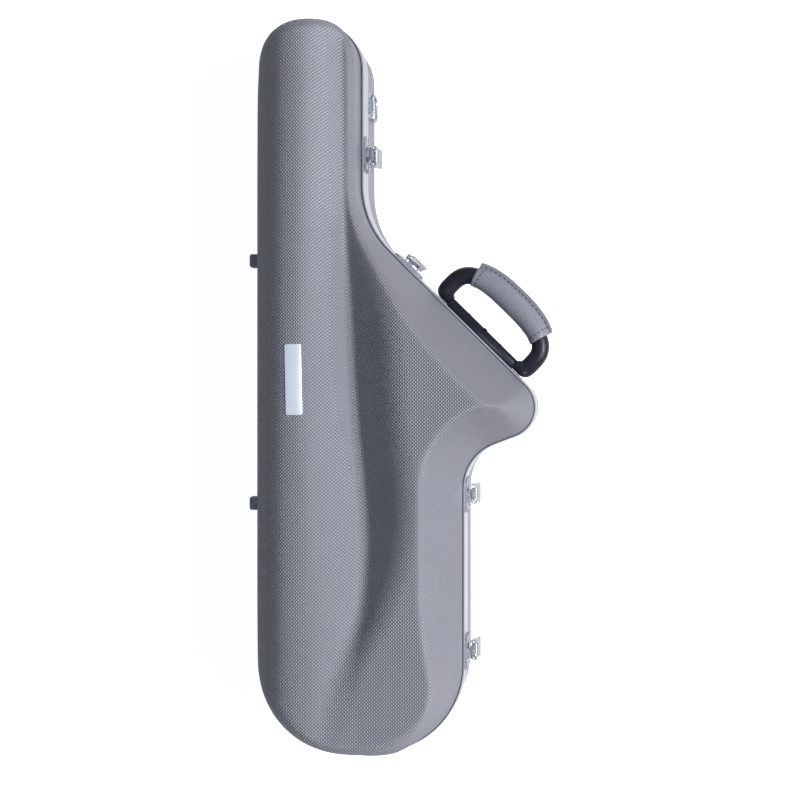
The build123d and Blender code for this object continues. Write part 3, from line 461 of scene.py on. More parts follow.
black_paint = moulded(
    "black_paint", (0.012, 0.012, 0.015), (0.02, 0.02, 0.024), 0.4, bare=(0.3, 0.3, 0.32)
)
black_plastic = moulded(
    "black_plastic", (0.005, 0.0055, 0.011), (0.008, 0.009, 0.017), 0.3, specular=0.3
)
rubber = moulded("rubber", (0.05, 0.053, 0.068), (0.065, 0.068, 0.085), 0.7)
# The feet are painted lighter than their dark grey rubber: painted light for the shade they lie in.
foot_rubber = moulded("foot_rubber", (0.4, 0.41, 0.47), (0.48, 0.49, 0.56), 0.6, grain=0.2)
thread = moulded("waxed_thread", (0.02, 0.021, 0.026), (0.035, 0.036, 0.042), 0.55)
print("moulded", black_paint.name, black_plastic.name, rubber.name, foot_rubber.name, thread.name)

# %% [markdown]
# ## Leather and plush
# Leather has round pebbles with creases between them, and the distance to the nearest point of a
# Voronoi pattern gives both; the creases are darkened with painted shade. A wider noise adds soft
# wrinkles and makes the gloss uneven. Plush is matt, with a soft sheen at grazing angles, a fine
# pile with painted shade in its hollows, and patches of pile brushed different ways, which are
# painted lighter and darker as their sheen.

# %% Leather and plush
PEBBLE_SCALE, WRINKLE_SCALE, WRINKLE_SHARE = 1250.0, 120.0, 1.5
LEATHER_RELIEF, LEATHER_DEPTH = 0.5, 0.14 * MM
CREASE_SHADE_COLOR = (0.3, 0.3, 0.33, 1)
PILE_SCALE, PILE_RELIEF, PILE_DEPTH = 1400.0, 0.9, 0.5 * MM
PILE_SHADE_COLOR = (0.3, 0.3, 0.3, 1)


def grained_leather(name, dark, light):
    """Leather with pebbles and painted shade in the creases between them."""
    material, tree, shader = new_material(name)
    pebbles = textured(tree, "ShaderNodeTexVoronoi", Scale=PEBBLE_SCALE, Randomness=0.9)
    pebbles = pebbles.outputs["Distance"]
    wrinkles = textured(tree, "ShaderNodeTexNoise", Scale=WRINKLE_SCALE, Detail=4.0).outputs["Fac"]
    tone = place_group(tree, cloudy_tone, Dark=(*dark, 1), Light=(*light, 1), Scale=45.0)
    # Painted shade: the creases between the pebbles are darkened.
    crease_shade = ranged(tree, pebbles, From_Min=0.35, From_Max=0.75, To_Max=0.45)
    shaded = mixed(tree, crease_shade, tone, CREASE_SHADE_COLOR, blend_type="MULTIPLY")
    join(tree, shaded, shader.inputs["Base Color"])
    folds = math_node(tree, "MULTIPLY", wrinkles, WRINKLE_SHARE)
    height = math_node(tree, "SUBTRACT", folds, pebbles)
    emboss(tree, shader, height, LEATHER_RELIEF, LEATHER_DEPTH)
    join(tree, ranged(tree, wrinkles, To_Min=0.26, To_Max=0.42), shader.inputs["Roughness"])
    return material


def short_plush(name, dark, light):
    """Short plush: matt, with painted sheen in brushed patches, painted shade in a fine pile and a
    soft sheen.
    """
    material, tree, shader = new_material(name)
    # Painted sheen: the lighter and darker patches stand for pile brushed different ways.
    tone = place_group(tree, cloudy_tone, Dark=(*dark, 1), Light=(*light, 1), Scale=26.0)
    pile = textured(tree, "ShaderNodeTexNoise", Scale=PILE_SCALE, Detail=3.0).outputs["Fac"]
    # Painted shade: the hollows of the pile are darkened.
    pile_shade = ranged(tree, pile, From_Min=0.35, From_Max=0.65, To_Min=0.6, To_Max=0.0)
    shaded = mixed(tree, pile_shade, tone, PILE_SHADE_COLOR, blend_type="MULTIPLY")
    join(tree, shaded, shader.inputs["Base Color"])
    emboss(tree, shader, pile, PILE_RELIEF, PILE_DEPTH)
    shader.inputs["Roughness"].default_value = 0.95
    shader.inputs["Sheen Weight"].default_value = 0.35
    shader.inputs["Sheen Roughness"].default_value = 0.4
    return material


leather = grained_leather("leather", (0.25, 0.26, 0.31), (0.31, 0.32, 0.38))
plush = short_plush("plush", (0.018, 0.018, 0.021), (0.034, 0.034, 0.04))
print("materials", len(bpy.data.materials))

# %% [markdown]
# ## The floor's material
# The floor is matt white card. It has to look as white as the background, but hardly light the
# case from below, so a Light Path node lets it glow strongly for the camera alone.

# %% Floor material
FLOOR_GLOW, FLOOR_SEEN = 0.12, 0.9

floor_material, floor_tree, floor_shader = new_material("pale_floor")
floor_shader.inputs["Base Color"].default_value = (0.93, 0.93, 0.93, 1)
floor_shader.inputs["Roughness"].default_value = 0.9
floor_shader.inputs["Emission Color"].default_value = (1, 1, 1, 1)
floor_ray = add_node(floor_tree, "ShaderNodeLightPath").outputs["Is Camera Ray"]
glow = ranged(floor_tree, floor_ray, To_Min=FLOOR_GLOW, To_Max=FLOOR_SEEN)
join(floor_tree, glow, floor_shader.inputs["Emission Strength"])
floor.data.materials.append(floor_material)
print("floor", floor_material.name)

# %% [markdown]
# ## Materials on the CAD nodes
# A CAD node whose shape is right keeps it and only gets its finish. The record says which material
# slot each node takes and which body it belongs to. The base shell gets the grid without its mask.

# %% Materials on the CAD nodes
SLOT_MATERIALS = {
    "grey_shell": grey_shell,
    "aluminium_frame": aluminium,
    "black_rubber": rubber,
    "foot_rubber": foot_rubber,
    "plush_foam": plush,
    "chrome": chrome,
    "steel_pin": steel,
    "black_hinge": black_paint,
    "black_plastic": black_plastic,
    "grey_leather": leather,
    "brushed_plate": brushed,
}
slot_of = {part["node"]: part["material_slot"] for part in frame["record"]["subparts"]}
body_of = {
    name: body
    for body, names in frame["record"]["behaviour"]["bodies"].items()
    for name in names
}
for name, node in nodes.items():
    node.data.materials.clear()
    node.data.materials.append(SLOT_MATERIALS[slot_of[name]])
nodes["base_shell"].data.materials[0] = base_grey
print("dressed nodes", len(nodes))

# %% [markdown]
# ## The outline of the shells
# Both shells follow one outline: a rounded body end, a waist, the corner over the bell, a shoulder
# and a narrow neck end. Seven corners with their radii give it. Each corner is turned into an arc
# of short steps, because the mesh of the lid is cut along this line.

# %% Outline
SPINE_X, NECK_X, BODY_X, BELL_X = -112.5, -2.5, 112.5, 218.5
TOP_Y, SHOULDER_Y, BELL_Y, WAIST_Y, BOTTOM_Y = 410.0, 183.0, -36.0, -76.0, -410.0
BODY_WIDTH = BODY_X - SPINE_X
CASE_LENGTH = TOP_Y - BOTTOM_Y
PARTING = 98.0
NECK_RADIUS, BODY_RADIUS = 52.0, 101.0
WAIST_RADIUS, BELL_RADIUS, SHOULDER_RADIUS = 54.0, 33.0, 108.0
OUTLINE_CORNERS = [
    (SPINE_X, TOP_Y, NECK_RADIUS),
    (SPINE_X, BOTTOM_Y, BODY_RADIUS),
    (BODY_X, BOTTOM_Y, BODY_RADIUS),
    (BODY_X, WAIST_Y, WAIST_RADIUS),
    (BELL_X, BELL_Y, BELL_RADIUS),
    (NECK_X, SHOULDER_Y, SHOULDER_RADIUS),
    (NECK_X, TOP_Y, NECK_RADIUS),
]
OUTLINE_STEP = 2.0


def rounded_outline(corners, step):
    """Points along a closed outline whose corners are arcs."""
    points = []
    for i, (x, y, radius) in enumerate(corners):
        corner = np.array([x, y])
        before = np.array(corners[i - 1][:2]) - corner
        after = np.array(corners[(i + 1) % len(corners)][:2]) - corner
        before /= np.linalg.norm(before)
        after /= np.linalg.norm(after)
        half = np.arccos(np.clip(before @ after, -1, 1)) / 2
        middle = (before + after) / np.linalg.norm(before + after)
        center = corner + middle * radius / sin(half)
        start = corner + before * radius / tan(half) - center
        turn = pi - 2 * half
        side = np.sign(before[1] * after[0] - before[0] * after[1])
        count = max(2, round(radius * turn / step))
        for k in range(count + 1):
            angle = side * turn * k / count
            spin = np.array([[cos(angle), -sin(angle)], [sin(angle), cos(angle)]])
            points.append(center + spin @ start)
    return np.array(points)


outline = rounded_outline(OUTLINE_CORNERS, OUTLINE_STEP)
print("outline points", len(outline), outline.min(0).round(1), outline.max(0).round(1))


# %% Nearest point of the outline
def nearest_on_outline(x, y):
    """Distance inside the outline, negative outside, and the nearest point on it."""
    run = np.roll(outline, -1, axis=0) - outline
    gap = np.full(x.shape, np.inf)
    near_x, near_y = np.zeros(x.shape), np.zeros(x.shape)
    inside = np.zeros(x.shape, bool)
    for (ax, ay), (ex, ey) in zip(outline, run):
        along = np.clip(((x - ax) * ex + (y - ay) * ey) / (ex * ex + ey * ey), 0, 1)
        px, py = ax + along * ex, ay + along * ey
        distance = np.hypot(x - px, y - py)
        closer = distance < gap
        gap = np.where(closer, distance, gap)
        near_x, near_y = np.where(closer, px, near_x), np.where(closer, py, near_y)
        if ey != 0:
            spans = (ay > y) != (ay + ey > y)
            inside ^= spans & (x < ax + (y - ay) / ey * ex)
    return np.where(inside, gap, -gap), near_x, near_y


print("middle lies inside by", nearest_on_outline(np.zeros(1), np.zeros(1))[0].round(1), "mm")

# %% [markdown]
# ## The relief of the lid
# Under the lid lie the body tube, which makes the long ridge at the spine, and the bell, which
# makes the bulge at the right. The height is put together from a few simple surfaces: the ridge, a
# slope that climbs out of the valley, a flange that falls to the rim and a cap that rounds the
# ends. Where two of them cross, the lower or the higher one wins, rounded over a short blend. A few
# stations along the case say where the valley lies and how wide the flange is.

# %% Relief values
LID_HEIGHT = 104.0
SPINE_WALL = 56.0
RIDGE_WIDTH = 56.0
PLATEAU = 93.0
NECK_SHELF = 66.0
RIM_WALL = 17.0
NECK_WALL = 52.0
END_WALL = 34.0
VALLEY = 48.0
VALLEY_SLOPE = tan(radians(41.0))
SPINE_FALL, CREASE_FALL = 2.05, 1.7
END_ROUND = 34.0
CREASE_BLEND, CREST_BLEND, PLATEAU_BLEND = 4.0, 7.0, 14.0
CREASE_FADE = 22.0
FLANGE_BLEND = 3 * CREST_BLEND
STATIONS = [0.0, 0.07, 0.12, 0.2, 0.29, 0.36, 0.42, 0.5, 0.56, 0.62, 0.69, 0.77, 0.9, 1.0]
CREASES = [0.42, 0.42, 0.455, 0.545, 0.56, 0.54, 0.515, 0.49, 0.478, 0.47, 0.455, 0.44, 0.435, 0.43]
CREASE_RISES = [0.96, 0.92, 0.8, 0.45, 0.12, 0.0, 0.0, 0.0, 0.0, 0.08, 0.22, 0.34, 0.34, 0.34]
FLANGE_WIDTHS = [0.09, 0.09, 0.13, 0.18, 0.18, 0.18, 0.19, 0.21, 0.2, 0.15, 0.09, 0.07, 0.07, 0.08]
BELL_SIDES = [1.0, 1.0, 1.0, 1.0, 1.0, 1.0, 1.0, 1.0, 1.0, 0.85, 0.35, 0.0, 0.0, 0.0]
PLAIN_SIDES = [0.5, 0.5, 0.5, 0.55, 0.65, 0.75, 0.85, 0.95, 1.0, 1.0, 1.0, 1.0, 1.0, 1.0]
END_SIDES = [1.0, 0.5, 0.15, 0.0, 0.0, 0.0, 0.0, 0.0, 0.0, 0.0, 0.0, 0.0, 0.1, 1.0]
EASING = [-0.03, -0.015, 0.0, 0.015, 0.03]
print("stations at y", [round(BOTTOM_Y + CASE_LENGTH * share) for share in STATIONS])


# %% Relief
def along_case(y, shares):
    """A value that changes along the case, eased between its stations."""
    place = (y - BOTTOM_Y) / CASE_LENGTH
    return sum(np.interp(place + shift, STATIONS, shares) for shift in EASING) / len(EASING)


def smooth_low(a, b, blend):
    """The lower of two surfaces, rounded where they cross."""
    mix = np.clip(0.5 + (b - a) / (2 * blend), 0, 1)
    return b + (a - b) * mix - blend * mix * (1 - mix)


def lid_relief(x, y, inside):
    """Height of the lid over the parting plane, and how far a place is out on the flange."""
    bell = along_case(y, BELL_SIDES)
    ends = along_case(y, END_SIDES)
    crease_x = SPINE_X + BODY_WIDTH * along_case(y, CREASES)
    shelf = NECK_SHELF + (PLATEAU - NECK_SHELF) * bell
    rise = along_case(y, CREASE_RISES)
    valley = np.minimum(VALLEY + (PLATEAU - VALLEY) * rise, shelf)

    crest_x = SPINE_X + RIDGE_WIDTH
    left = np.maximum((crest_x - x) / RIDGE_WIDTH, 0)
    right = np.maximum((x - crest_x) / (crease_x - crest_x), 0)
    spine_fall = (LID_HEIGHT - SPINE_WALL) * left**SPINE_FALL
    crease_fall = (LID_HEIGHT - valley) * right**CREASE_FALL
    ridge = LID_HEIGHT - spine_fall - crease_fall

    bowl = smooth_low(valley + VALLEY_SLOPE * (x - crease_x), shelf, PLATEAU_BLEND)
    flange_width = BODY_WIDTH * along_case(y, FLANGE_WIDTHS)
    side_wall = NECK_WALL + (RIM_WALL - NECK_WALL) * bell
    flange = side_wall + (LID_HEIGHT - side_wall) * inside / flange_width
    right_side = smooth_low(bowl, flange, CREST_BLEND)
    relief = -smooth_low(-ridge, -right_side, CREASE_BLEND + CREASE_FADE * rise * bell)

    spine_side = np.clip((crest_x - x) / RIDGE_WIDTH, 0, 1)
    wall = side_wall + (SPINE_WALL - side_wall) * spine_side
    wall = wall + (END_WALL - wall) * ends
    rounding = np.maximum(1 - inside / END_ROUND, 0)
    cap = wall + (LID_HEIGHT - wall) * (1 - rounding**2)
    cap = cap + (LID_HEIGHT - cap) * (1 - ends) * (1 - spine_side)
    on_flange = np.clip((bowl - flange) / FLANGE_BLEND + 0.5, 0, 1)
    plain = along_case(y, PLAIN_SIDES)
    return smooth_low(relief, cap, CREST_BLEND), on_flange * (1 - spine_side) * plain


crest = np.array([SPINE_X + RIDGE_WIDTH])
print("ridge height in the middle", lid_relief(crest, np.zeros(1), crest - SPINE_X)[0].round(1))

# %% [markdown]
# ## The lid shell
# The lid is one sheet: a fine grid is laid over the case, each point is lifted to the relief, and
# the grid is trimmed to the outline. Points next to the outline are drawn onto it, which leaves a
# clean edge with no cut faces. The edge is then pulled down to the frame as a wall, and a Solidify
# modifier gives the sheet its 3 mm.

# %% Lid shell
GRID_PITCH = 2.8
SEAT_RISE = 3.15
WALL = 3.0
SNAP = 0.4 * GRID_PITCH
SAME_PLACE = 0.3


def finish_mesh(mesh_builder, name, material):
    """Turn a bmesh in metres into a smooth object with one material, at the origin."""
    data = bpy.data.meshes.new(name)
    mesh_builder.to_mesh(data)
    mesh_builder.free()
    data.shade_smooth()
    data.materials.append(material)
    piece = bpy.data.objects.new(name, data)
    bpy.context.scene.collection.objects.link(piece)
    return piece


def finish_piece(mesh_builder, name, material, place=Matrix()):
    """Put a bmesh in millimetres in its place, bring it to metres and finish it."""
    to_scene = Matrix.Scale(MM, 4) @ place
    bmesh.ops.transform(mesh_builder, matrix=to_scene, verts=mesh_builder.verts)
    return finish_mesh(mesh_builder, name, material)


def lid_sheet():
    """The outer surface of the lid with its wall, in millimetres."""
    width, length = BELL_X - SPINE_X + 2 * GRID_PITCH, CASE_LENGTH + 2 * GRID_PITCH
    sheet = bmesh.new()
    bmesh.ops.create_grid(
        sheet, x_segments=round(width / GRID_PITCH), y_segments=round(length / GRID_PITCH), size=0.5
    )
    middle = Vector(((SPINE_X + BELL_X) / 2, 0, 0))
    bmesh.ops.scale(sheet, vec=(width, length, 1), verts=sheet.verts)
    bmesh.ops.translate(sheet, vec=middle, verts=sheet.verts)
    x = np.array([v.co.x for v in sheet.verts])
    y = np.array([v.co.y for v in sheet.verts])
    gap, near_x, near_y = nearest_on_outline(x, y)
    snapped = gap < SNAP
    x, y = np.where(snapped, near_x, x), np.where(snapped, near_y, y)
    height, on_flange = lid_relief(x, y, np.where(snapped, 0, gap))
    depth = sheet.verts.layers.float.new("grid_depth")
    for v, place, flange in zip(sheet.verts, zip(x, y, PARTING + height), on_flange):
        v.co = place
        v[depth] = 1 - flange
    outside = [f for f in sheet.faces if all(snapped[v.index] for v in f.verts)]
    bmesh.ops.delete(sheet, geom=outside, context="FACES")
    bmesh.ops.delete(sheet, geom=[v for v in sheet.verts if not v.link_faces], context="VERTS")
    bmesh.ops.remove_doubles(sheet, verts=sheet.verts, dist=SAME_PLACE)
    rim = [e for e in sheet.edges if e.is_boundary]
    wall = bmesh.ops.extrude_edge_only(sheet, edges=rim)["geom"]
    for v in (g for g in wall if isinstance(g, bmesh.types.BMVert)):
        v.co.z = PARTING + SEAT_RISE
    bmesh.ops.recalc_face_normals(sheet, faces=sheet.faces)
    return sheet


lid_skin = finish_piece(lid_sheet(), "lid_skin", grey_shell)
thickness = lid_skin.modifiers.new("wall", "SOLIDIFY")
thickness.thickness = WALL * MM
thickness.offset = -1.0
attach(lid_skin, "lid")
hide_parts("lid_shell")
print("lid skin faces", len(lid_skin.data.polygons))

# %% [markdown]
# ## The label plate
# The label plate is a bare strip of brushed aluminium that is glued on the ridge by hand, so it
# lies a little askew and bends with the ridge. It starts as one face with rounded corners and a
# thickness, is cut lengthways into narrow strips so that it can bend, and is then laid on the
# relief.

# %% Label plate
LABEL_X, LABEL_Y, LABEL_TILT = -58.8, 6.7, radians(1.2)
LABEL_WIDTH, LABEL_LENGTH, LABEL_THICKNESS, LABEL_SUNK = 18.2, 76.0, 1.4, 0.4
LABEL_CORNER, CORNER_STEPS, LABEL_BEVEL, BEVEL_STEPS = 1.8, 4, 0.35, 2
LABEL_STRIPS = 12
LABEL_SHARP = radians(30)


def round_over(mesh, geometry, width, segments, affect="EDGES"):
    """Bevel edges or corners to a round profile."""
    bmesh.ops.bevel(
        mesh,
        geom=list(geometry),
        affect=affect,
        offset=width,
        segments=segments,
        profile=0.5,
        material=-1,
    )


label_mesh = bmesh.new()
bmesh.ops.create_grid(label_mesh, x_segments=1, y_segments=1, size=0.5)
bmesh.ops.scale(label_mesh, vec=(LABEL_WIDTH, LABEL_LENGTH, 1), verts=label_mesh.verts)
round_over(label_mesh, label_mesh.verts, LABEL_CORNER, CORNER_STEPS, "VERTICES")
raised = bmesh.ops.extrude_face_region(label_mesh, geom=list(label_mesh.faces))["geom"]
raised = [v for v in raised if isinstance(v, bmesh.types.BMVert)]
bmesh.ops.translate(label_mesh, vec=(0, 0, LABEL_THICKNESS), verts=raised)
top_edges = [e for e in label_mesh.edges if all(v.co.z > LABEL_THICKNESS / 2 for v in e.verts)]
round_over(label_mesh, top_edges, LABEL_BEVEL, BEVEL_STEPS)
for strip in range(1, LABEL_STRIPS):
    cut = LABEL_WIDTH * (strip / LABEL_STRIPS - 0.5)
    everything = list(label_mesh.verts) + list(label_mesh.edges) + list(label_mesh.faces)
    bmesh.ops.bisect_plane(label_mesh, geom=everything, plane_co=(cut, 0, 0), plane_no=(1, 0, 0))
laid = Matrix.Translation((LABEL_X, LABEL_Y, 0)) @ Matrix.Rotation(LABEL_TILT, 4, "Z")
bmesh.ops.transform(label_mesh, matrix=laid, verts=label_mesh.verts)
label_x = np.array([v.co.x for v in label_mesh.verts])
label_y = np.array([v.co.y for v in label_mesh.verts])
label_height = lid_relief(label_x, label_y, nearest_on_outline(label_x, label_y)[0])[0]
for v, height in zip(label_mesh.verts, PARTING + label_height - LABEL_SUNK):
    v.co.z += height
bmesh.ops.recalc_face_normals(label_mesh, faces=label_mesh.faces)
label_plate = finish_piece(label_mesh, "label_plate", brushed)
label_plate.data.set_sharp_from_angle(angle=LABEL_SHARP)
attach(label_plate, "lid")
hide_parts("name_plate")
print("label plate faces", len(label_plate.data.polygons))

# %% [markdown]
# ## Rounded edges on the hardware
# Stamped and cast parts have no razor edges, and it is the thin highlight along each rounded edge
# that makes metal look real. The CAD nodes keep their shape and place: a copy of each one has its
# loose triangles merged and its flat faces joined again, and a Bevel modifier rounds what is still
# sharp. The flat faces lead the shading, so that only the rounded edges curve the light. The front
# of a catch wraps around its nose, so it is split into convex faces first, or the bevel would fold
# it over. Each copy then stands for its node.

# %% Rounded copies
MERGE = 0.002 * MM
FLAT = radians(0.5)
SHARP = radians(28)
ROUNDING_STEPS = 2
LARGE_FACES_LEAD = 100
EDGE_ROUNDING = {"plate": 0.35, "lever": 0.4, "claw": 0.3, "catch": 0.3}
LEAF_ROUNDING, BRACKET_ROUNDING, FEET_ROUNDING = 0.25, 0.3, 0.5


def rounded_copy(name, width):
    """A copy of a CAD node with its sharp edges rounded by a width in millimetres."""
    copy = bmesh.new()
    copy.from_mesh(nodes[name].data)
    bmesh.ops.remove_doubles(copy, verts=copy.verts, dist=MERGE)
    bmesh.ops.dissolve_limit(copy, angle_limit=FLAT, verts=copy.verts, edges=copy.edges)
    if "catch" in name:
        bmesh.ops.connect_verts_concave(copy, faces=copy.faces)
    piece = finish_mesh(copy, name + "_finish", nodes[name].data.materials[0])
    rounding = piece.modifiers.new("rounded edges", "BEVEL")
    rounding.width = width * MM
    rounding.segments = ROUNDING_STEPS
    rounding.limit_method = "ANGLE"
    rounding.angle_limit = SHARP
    even = piece.modifiers.new("even flats", "WEIGHTED_NORMAL")
    even.mode = "FACE_AREA"
    even.weight = LARGE_FACES_LEAD
    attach(piece, body_of[name])
    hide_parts(name)
    return piece


hardware = [
    rounded_copy(f"latch_{latch}_{part}", width)
    for latch in (1, 2, 3, 4)
    for part, width in EDGE_ROUNDING.items()
]
for piece in hardware:
    if "claw" in piece.name:
        piece.data.materials[0] = dark_steel
for end in ("neck", "tail"):
    for half in ("base", "lid"):
        hardware.append(rounded_copy(f"hinge_{end}_{half}_leaf", LEAF_ROUNDING))
    hardware.append(rounded_copy(f"ring_{end}_bracket", BRACKET_ROUNDING))
hardware += [rounded_copy(f"{half}_spine_feet", FEET_ROUNDING) for half in ("base", "lid")]
print("rounded copies", len(hardware))

# %% [markdown]
# ## The handle's base
# The bow turns on pins in a moulded bar, which is screwed to the frame. The bar is a block whose
# outer edges are bevelled until it is nearly half round, so that a long highlight runs along it. A
# low stop in the middle keeps the bow off the bar, and the screw heads lie almost flush.

# %% Handle frame
HANDLE_ALONG, HANDLE_DROP, FRAME_OUT = 182.0, 9.0, 2.35
slant = Vector((BELL_X - NECK_X, BELL_Y - SHOULDER_Y, 0)).normalized()
slant_out = Vector((-slant.y, slant.x, 0))
handle_middle = Vector((NECK_X, SHOULDER_Y, PARTING - HANDLE_DROP)) + slant * HANDLE_ALONG
handle_middle += slant_out * FRAME_OUT
handle_frame = Matrix.Translation(handle_middle) @ Matrix(
    (slant, slant_out, slant.cross(slant_out))
).transposed().to_4x4()
print("handle middle", [round(v, 1) for v in handle_middle])


# %% Block, cylinder and ball
PIVOT_OUT = 9.2
SIDE_STEPS, END_STEPS = 6, 2
ROUND_STEPS, BALL_RINGS = 40, 24
TOUCH = 0.01


def run_along(edge):
    """How far an edge runs along the slant."""
    return abs(edge.verts[0].co.x - edge.verts[1].co.x)


def add_block(mesh, middle, size, rounding, end_rounding):
    """A box with its long outer edges rounded and its ends eased; local y points outwards."""
    others = set(mesh.verts)
    made = bmesh.ops.create_cube(mesh, size=1)["verts"]
    shape = Matrix.Translation(middle) @ Matrix.Diagonal((*size, 1))
    bmesh.ops.transform(mesh, matrix=shape, verts=made)
    outer = {v for v in made if v.co.y > middle[1]}
    long_edges = [e for e in mesh.edges if set(e.verts) <= outer and run_along(e) > TOUCH]
    round_over(mesh, long_edges, rounding, SIDE_STEPS)
    ends = [
        e
        for e in mesh.edges
        if not others.intersection(e.verts)
        and run_along(e) < TOUCH
        and abs(abs(e.verts[0].co.x) - size[0] / 2) < TOUCH
        and min(v.co.y for v in e.verts) > middle[1] - size[1] / 2 + TOUCH
    ]
    round_over(mesh, ends, end_rounding, END_STEPS)


def add_cylinder(mesh, inner, outer, radius):
    """A cylinder about the handle's turning line, from one place along it to another."""
    middle = Matrix.Translation(((inner + outer) / 2, PIVOT_OUT, 0))
    return bmesh.ops.create_cone(
        mesh,
        cap_ends=True,
        segments=ROUND_STEPS,
        radius1=radius,
        radius2=radius,
        depth=abs(outer - inner),
        matrix=middle @ Matrix.Rotation(pi / 2, 4, "Y"),
    )["verts"]


def add_ball(mesh, place, radii):
    """A ball with its own radius along each direction."""
    shape = Matrix.Translation(place) @ Matrix.Diagonal((*radii, 1))
    bmesh.ops.create_uvsphere(
        mesh, u_segments=ROUND_STEPS, v_segments=BALL_RINGS, radius=1, matrix=shape
    )


print("pins lie", PIVOT_OUT, "mm out from the frame")

# %% Handle base
BAR_HALF, BAR_SEAT, BAR_TOP, BAR_WIDTH = 51.0, 0.15, 10.7, 13.0
BAR_ROUNDING, BAR_END_ROUNDING = 5.8, 0.6
STOP_SIZE, STOP_ROUNDING, STOP_END_ROUNDING = (4.4, 1.6, 7.0), 0.6, 0.4
SCREW_PLACE, SCREW_RADII, SCREW_SUNK = 24.5, (2.4, 0.8, 2.4), 0.4

base_mesh = bmesh.new()
bar_middle = (0, (BAR_SEAT + BAR_TOP) / 2, 0)
bar_size = (2 * BAR_HALF, BAR_TOP - BAR_SEAT, BAR_WIDTH)
add_block(base_mesh, bar_middle, bar_size, BAR_ROUNDING, BAR_END_ROUNDING)
add_block(base_mesh, (0, BAR_TOP, 0), STOP_SIZE, STOP_ROUNDING, STOP_END_ROUNDING)
for side in (-1, 1):
    add_ball(base_mesh, (side * SCREW_PLACE, BAR_TOP - SCREW_SUNK, 0), SCREW_RADII)
handle_base = finish_piece(base_mesh, "handle_base", black_plastic, handle_frame)
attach(handle_base, body_of["handle_bar"])
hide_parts("handle_bar", "handle_screws")
print("handle base faces", len(handle_base.data.polygons))

# %% Pins of the bow
PIN_INNER, PIN_OUTER, PIN_RADIUS = 46.5, 56.0, 1.3

pin_mesh = bmesh.new()
for side in (-1, 1):
    add_cylinder(pin_mesh, side * PIN_INNER, side * PIN_OUTER, PIN_RADIUS)
thin_pins = finish_piece(pin_mesh, "thin_pins", steel, handle_frame)
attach(thin_pins, body_of["handle_pins"])
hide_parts("handle_pins")
print("pin faces", len(thin_pins.data.polygons))

# %% [markdown]
# ## The bow
# The bow is one thick moulded tube. Its line is a superellipse, squarer than an ellipse, as the
# photograph shows: gently arched in the middle, round at the shoulders and drawn in again towards
# the pins. A circle is swept along it by extruding it from station to station. Each end is a foot
# about a pin: round on its underside and at its outer end, so that it can turn close to the frame,
# and sloped on top down to the end of the bar.

# %% Line of the bow
BOW_HALF, BOW_WAIST, BOW_SQUARENESS = 63.9, 18.0, 3.1
BOW_RISE, BOW_FALL = 33.2, 20.3
BOW_SAMPLES = 3000
BOW_LOOK = 0.5


def squared_off(wave):
    """A sine or cosine wave made squarer, for a superellipse."""
    return np.sign(wave) * np.abs(wave) ** (2 / BOW_SQUARENESS)


turns = np.linspace(-pi / 2, 3 * pi / 2, BOW_SAMPLES)
bow_along = -BOW_HALF * squared_off(np.cos(turns))
bow_out = squared_off(np.sin(turns))
bow_out = BOW_WAIST + bow_out * np.where(bow_out > 0, BOW_RISE, BOW_FALL)
above_pins = bow_out > PIVOT_OUT
bow_along, bow_out = bow_along[above_pins], bow_out[above_pins]
bow_steps = np.hypot(np.diff(bow_along), np.diff(bow_out))
bow_distance = np.concatenate([[0], np.cumsum(bow_steps)])
bow_reach = bow_distance[-1] / 2
bow_distance -= bow_reach


def bow_place(distance):
    """A frame on the line of the bow: x points out of the arch, y up and z along the line."""
    distance = min(max(distance, BOW_LOOK - bow_reach), bow_reach - BOW_LOOK)
    near = np.array([distance - BOW_LOOK, distance, distance + BOW_LOOK])
    along = np.interp(near, bow_distance, bow_along)
    out = np.interp(near, bow_distance, bow_out)
    forwards = Vector((along[2] - along[0], out[2] - out[0], 0)).normalized()
    outwards = Vector((-forwards.y, forwards.x, 0))
    turn = Matrix((outwards, forwards.cross(outwards), forwards)).transposed().to_4x4()
    return Matrix.Translation((along[1], out[1], 0)) @ turn


print("bow length", round(2 * bow_reach, 1), "mm")


# %% Bow
def sweep_ring(mesh, ring, places):
    """Extrude a closed ring of edges through a list of frames; gives the last ring."""
    start = list({v for e in ring for v in e.verts})
    bmesh.ops.transform(mesh, matrix=places[0], verts=start)
    before = places[0]
    for place in places[1:]:
        made = bmesh.ops.extrude_edge_only(mesh, edges=ring)["geom"]
        fresh = {g for g in made if isinstance(g, bmesh.types.BMVert)}
        bmesh.ops.transform(mesh, matrix=place @ before.inverted(), verts=list(fresh))
        ring = [g for g in made if isinstance(g, bmesh.types.BMEdge) and set(g.verts) <= fresh]
        before = place
    return ring


BOW_STATIONS = 110
BOW_WIDE, BOW_HIGH, FOOT_HIGH, FOOT_FADE = 9.9, 9.6, 8.6, 8.0
FOOT_INNER, FOOT_MIDDLE, FOOT_DOME, FOOT_RADIUS, FOOT_SLOPE = 51.2, 62.0, 10.2, 8.8, 0.34
BOW_SHARP = radians(40)

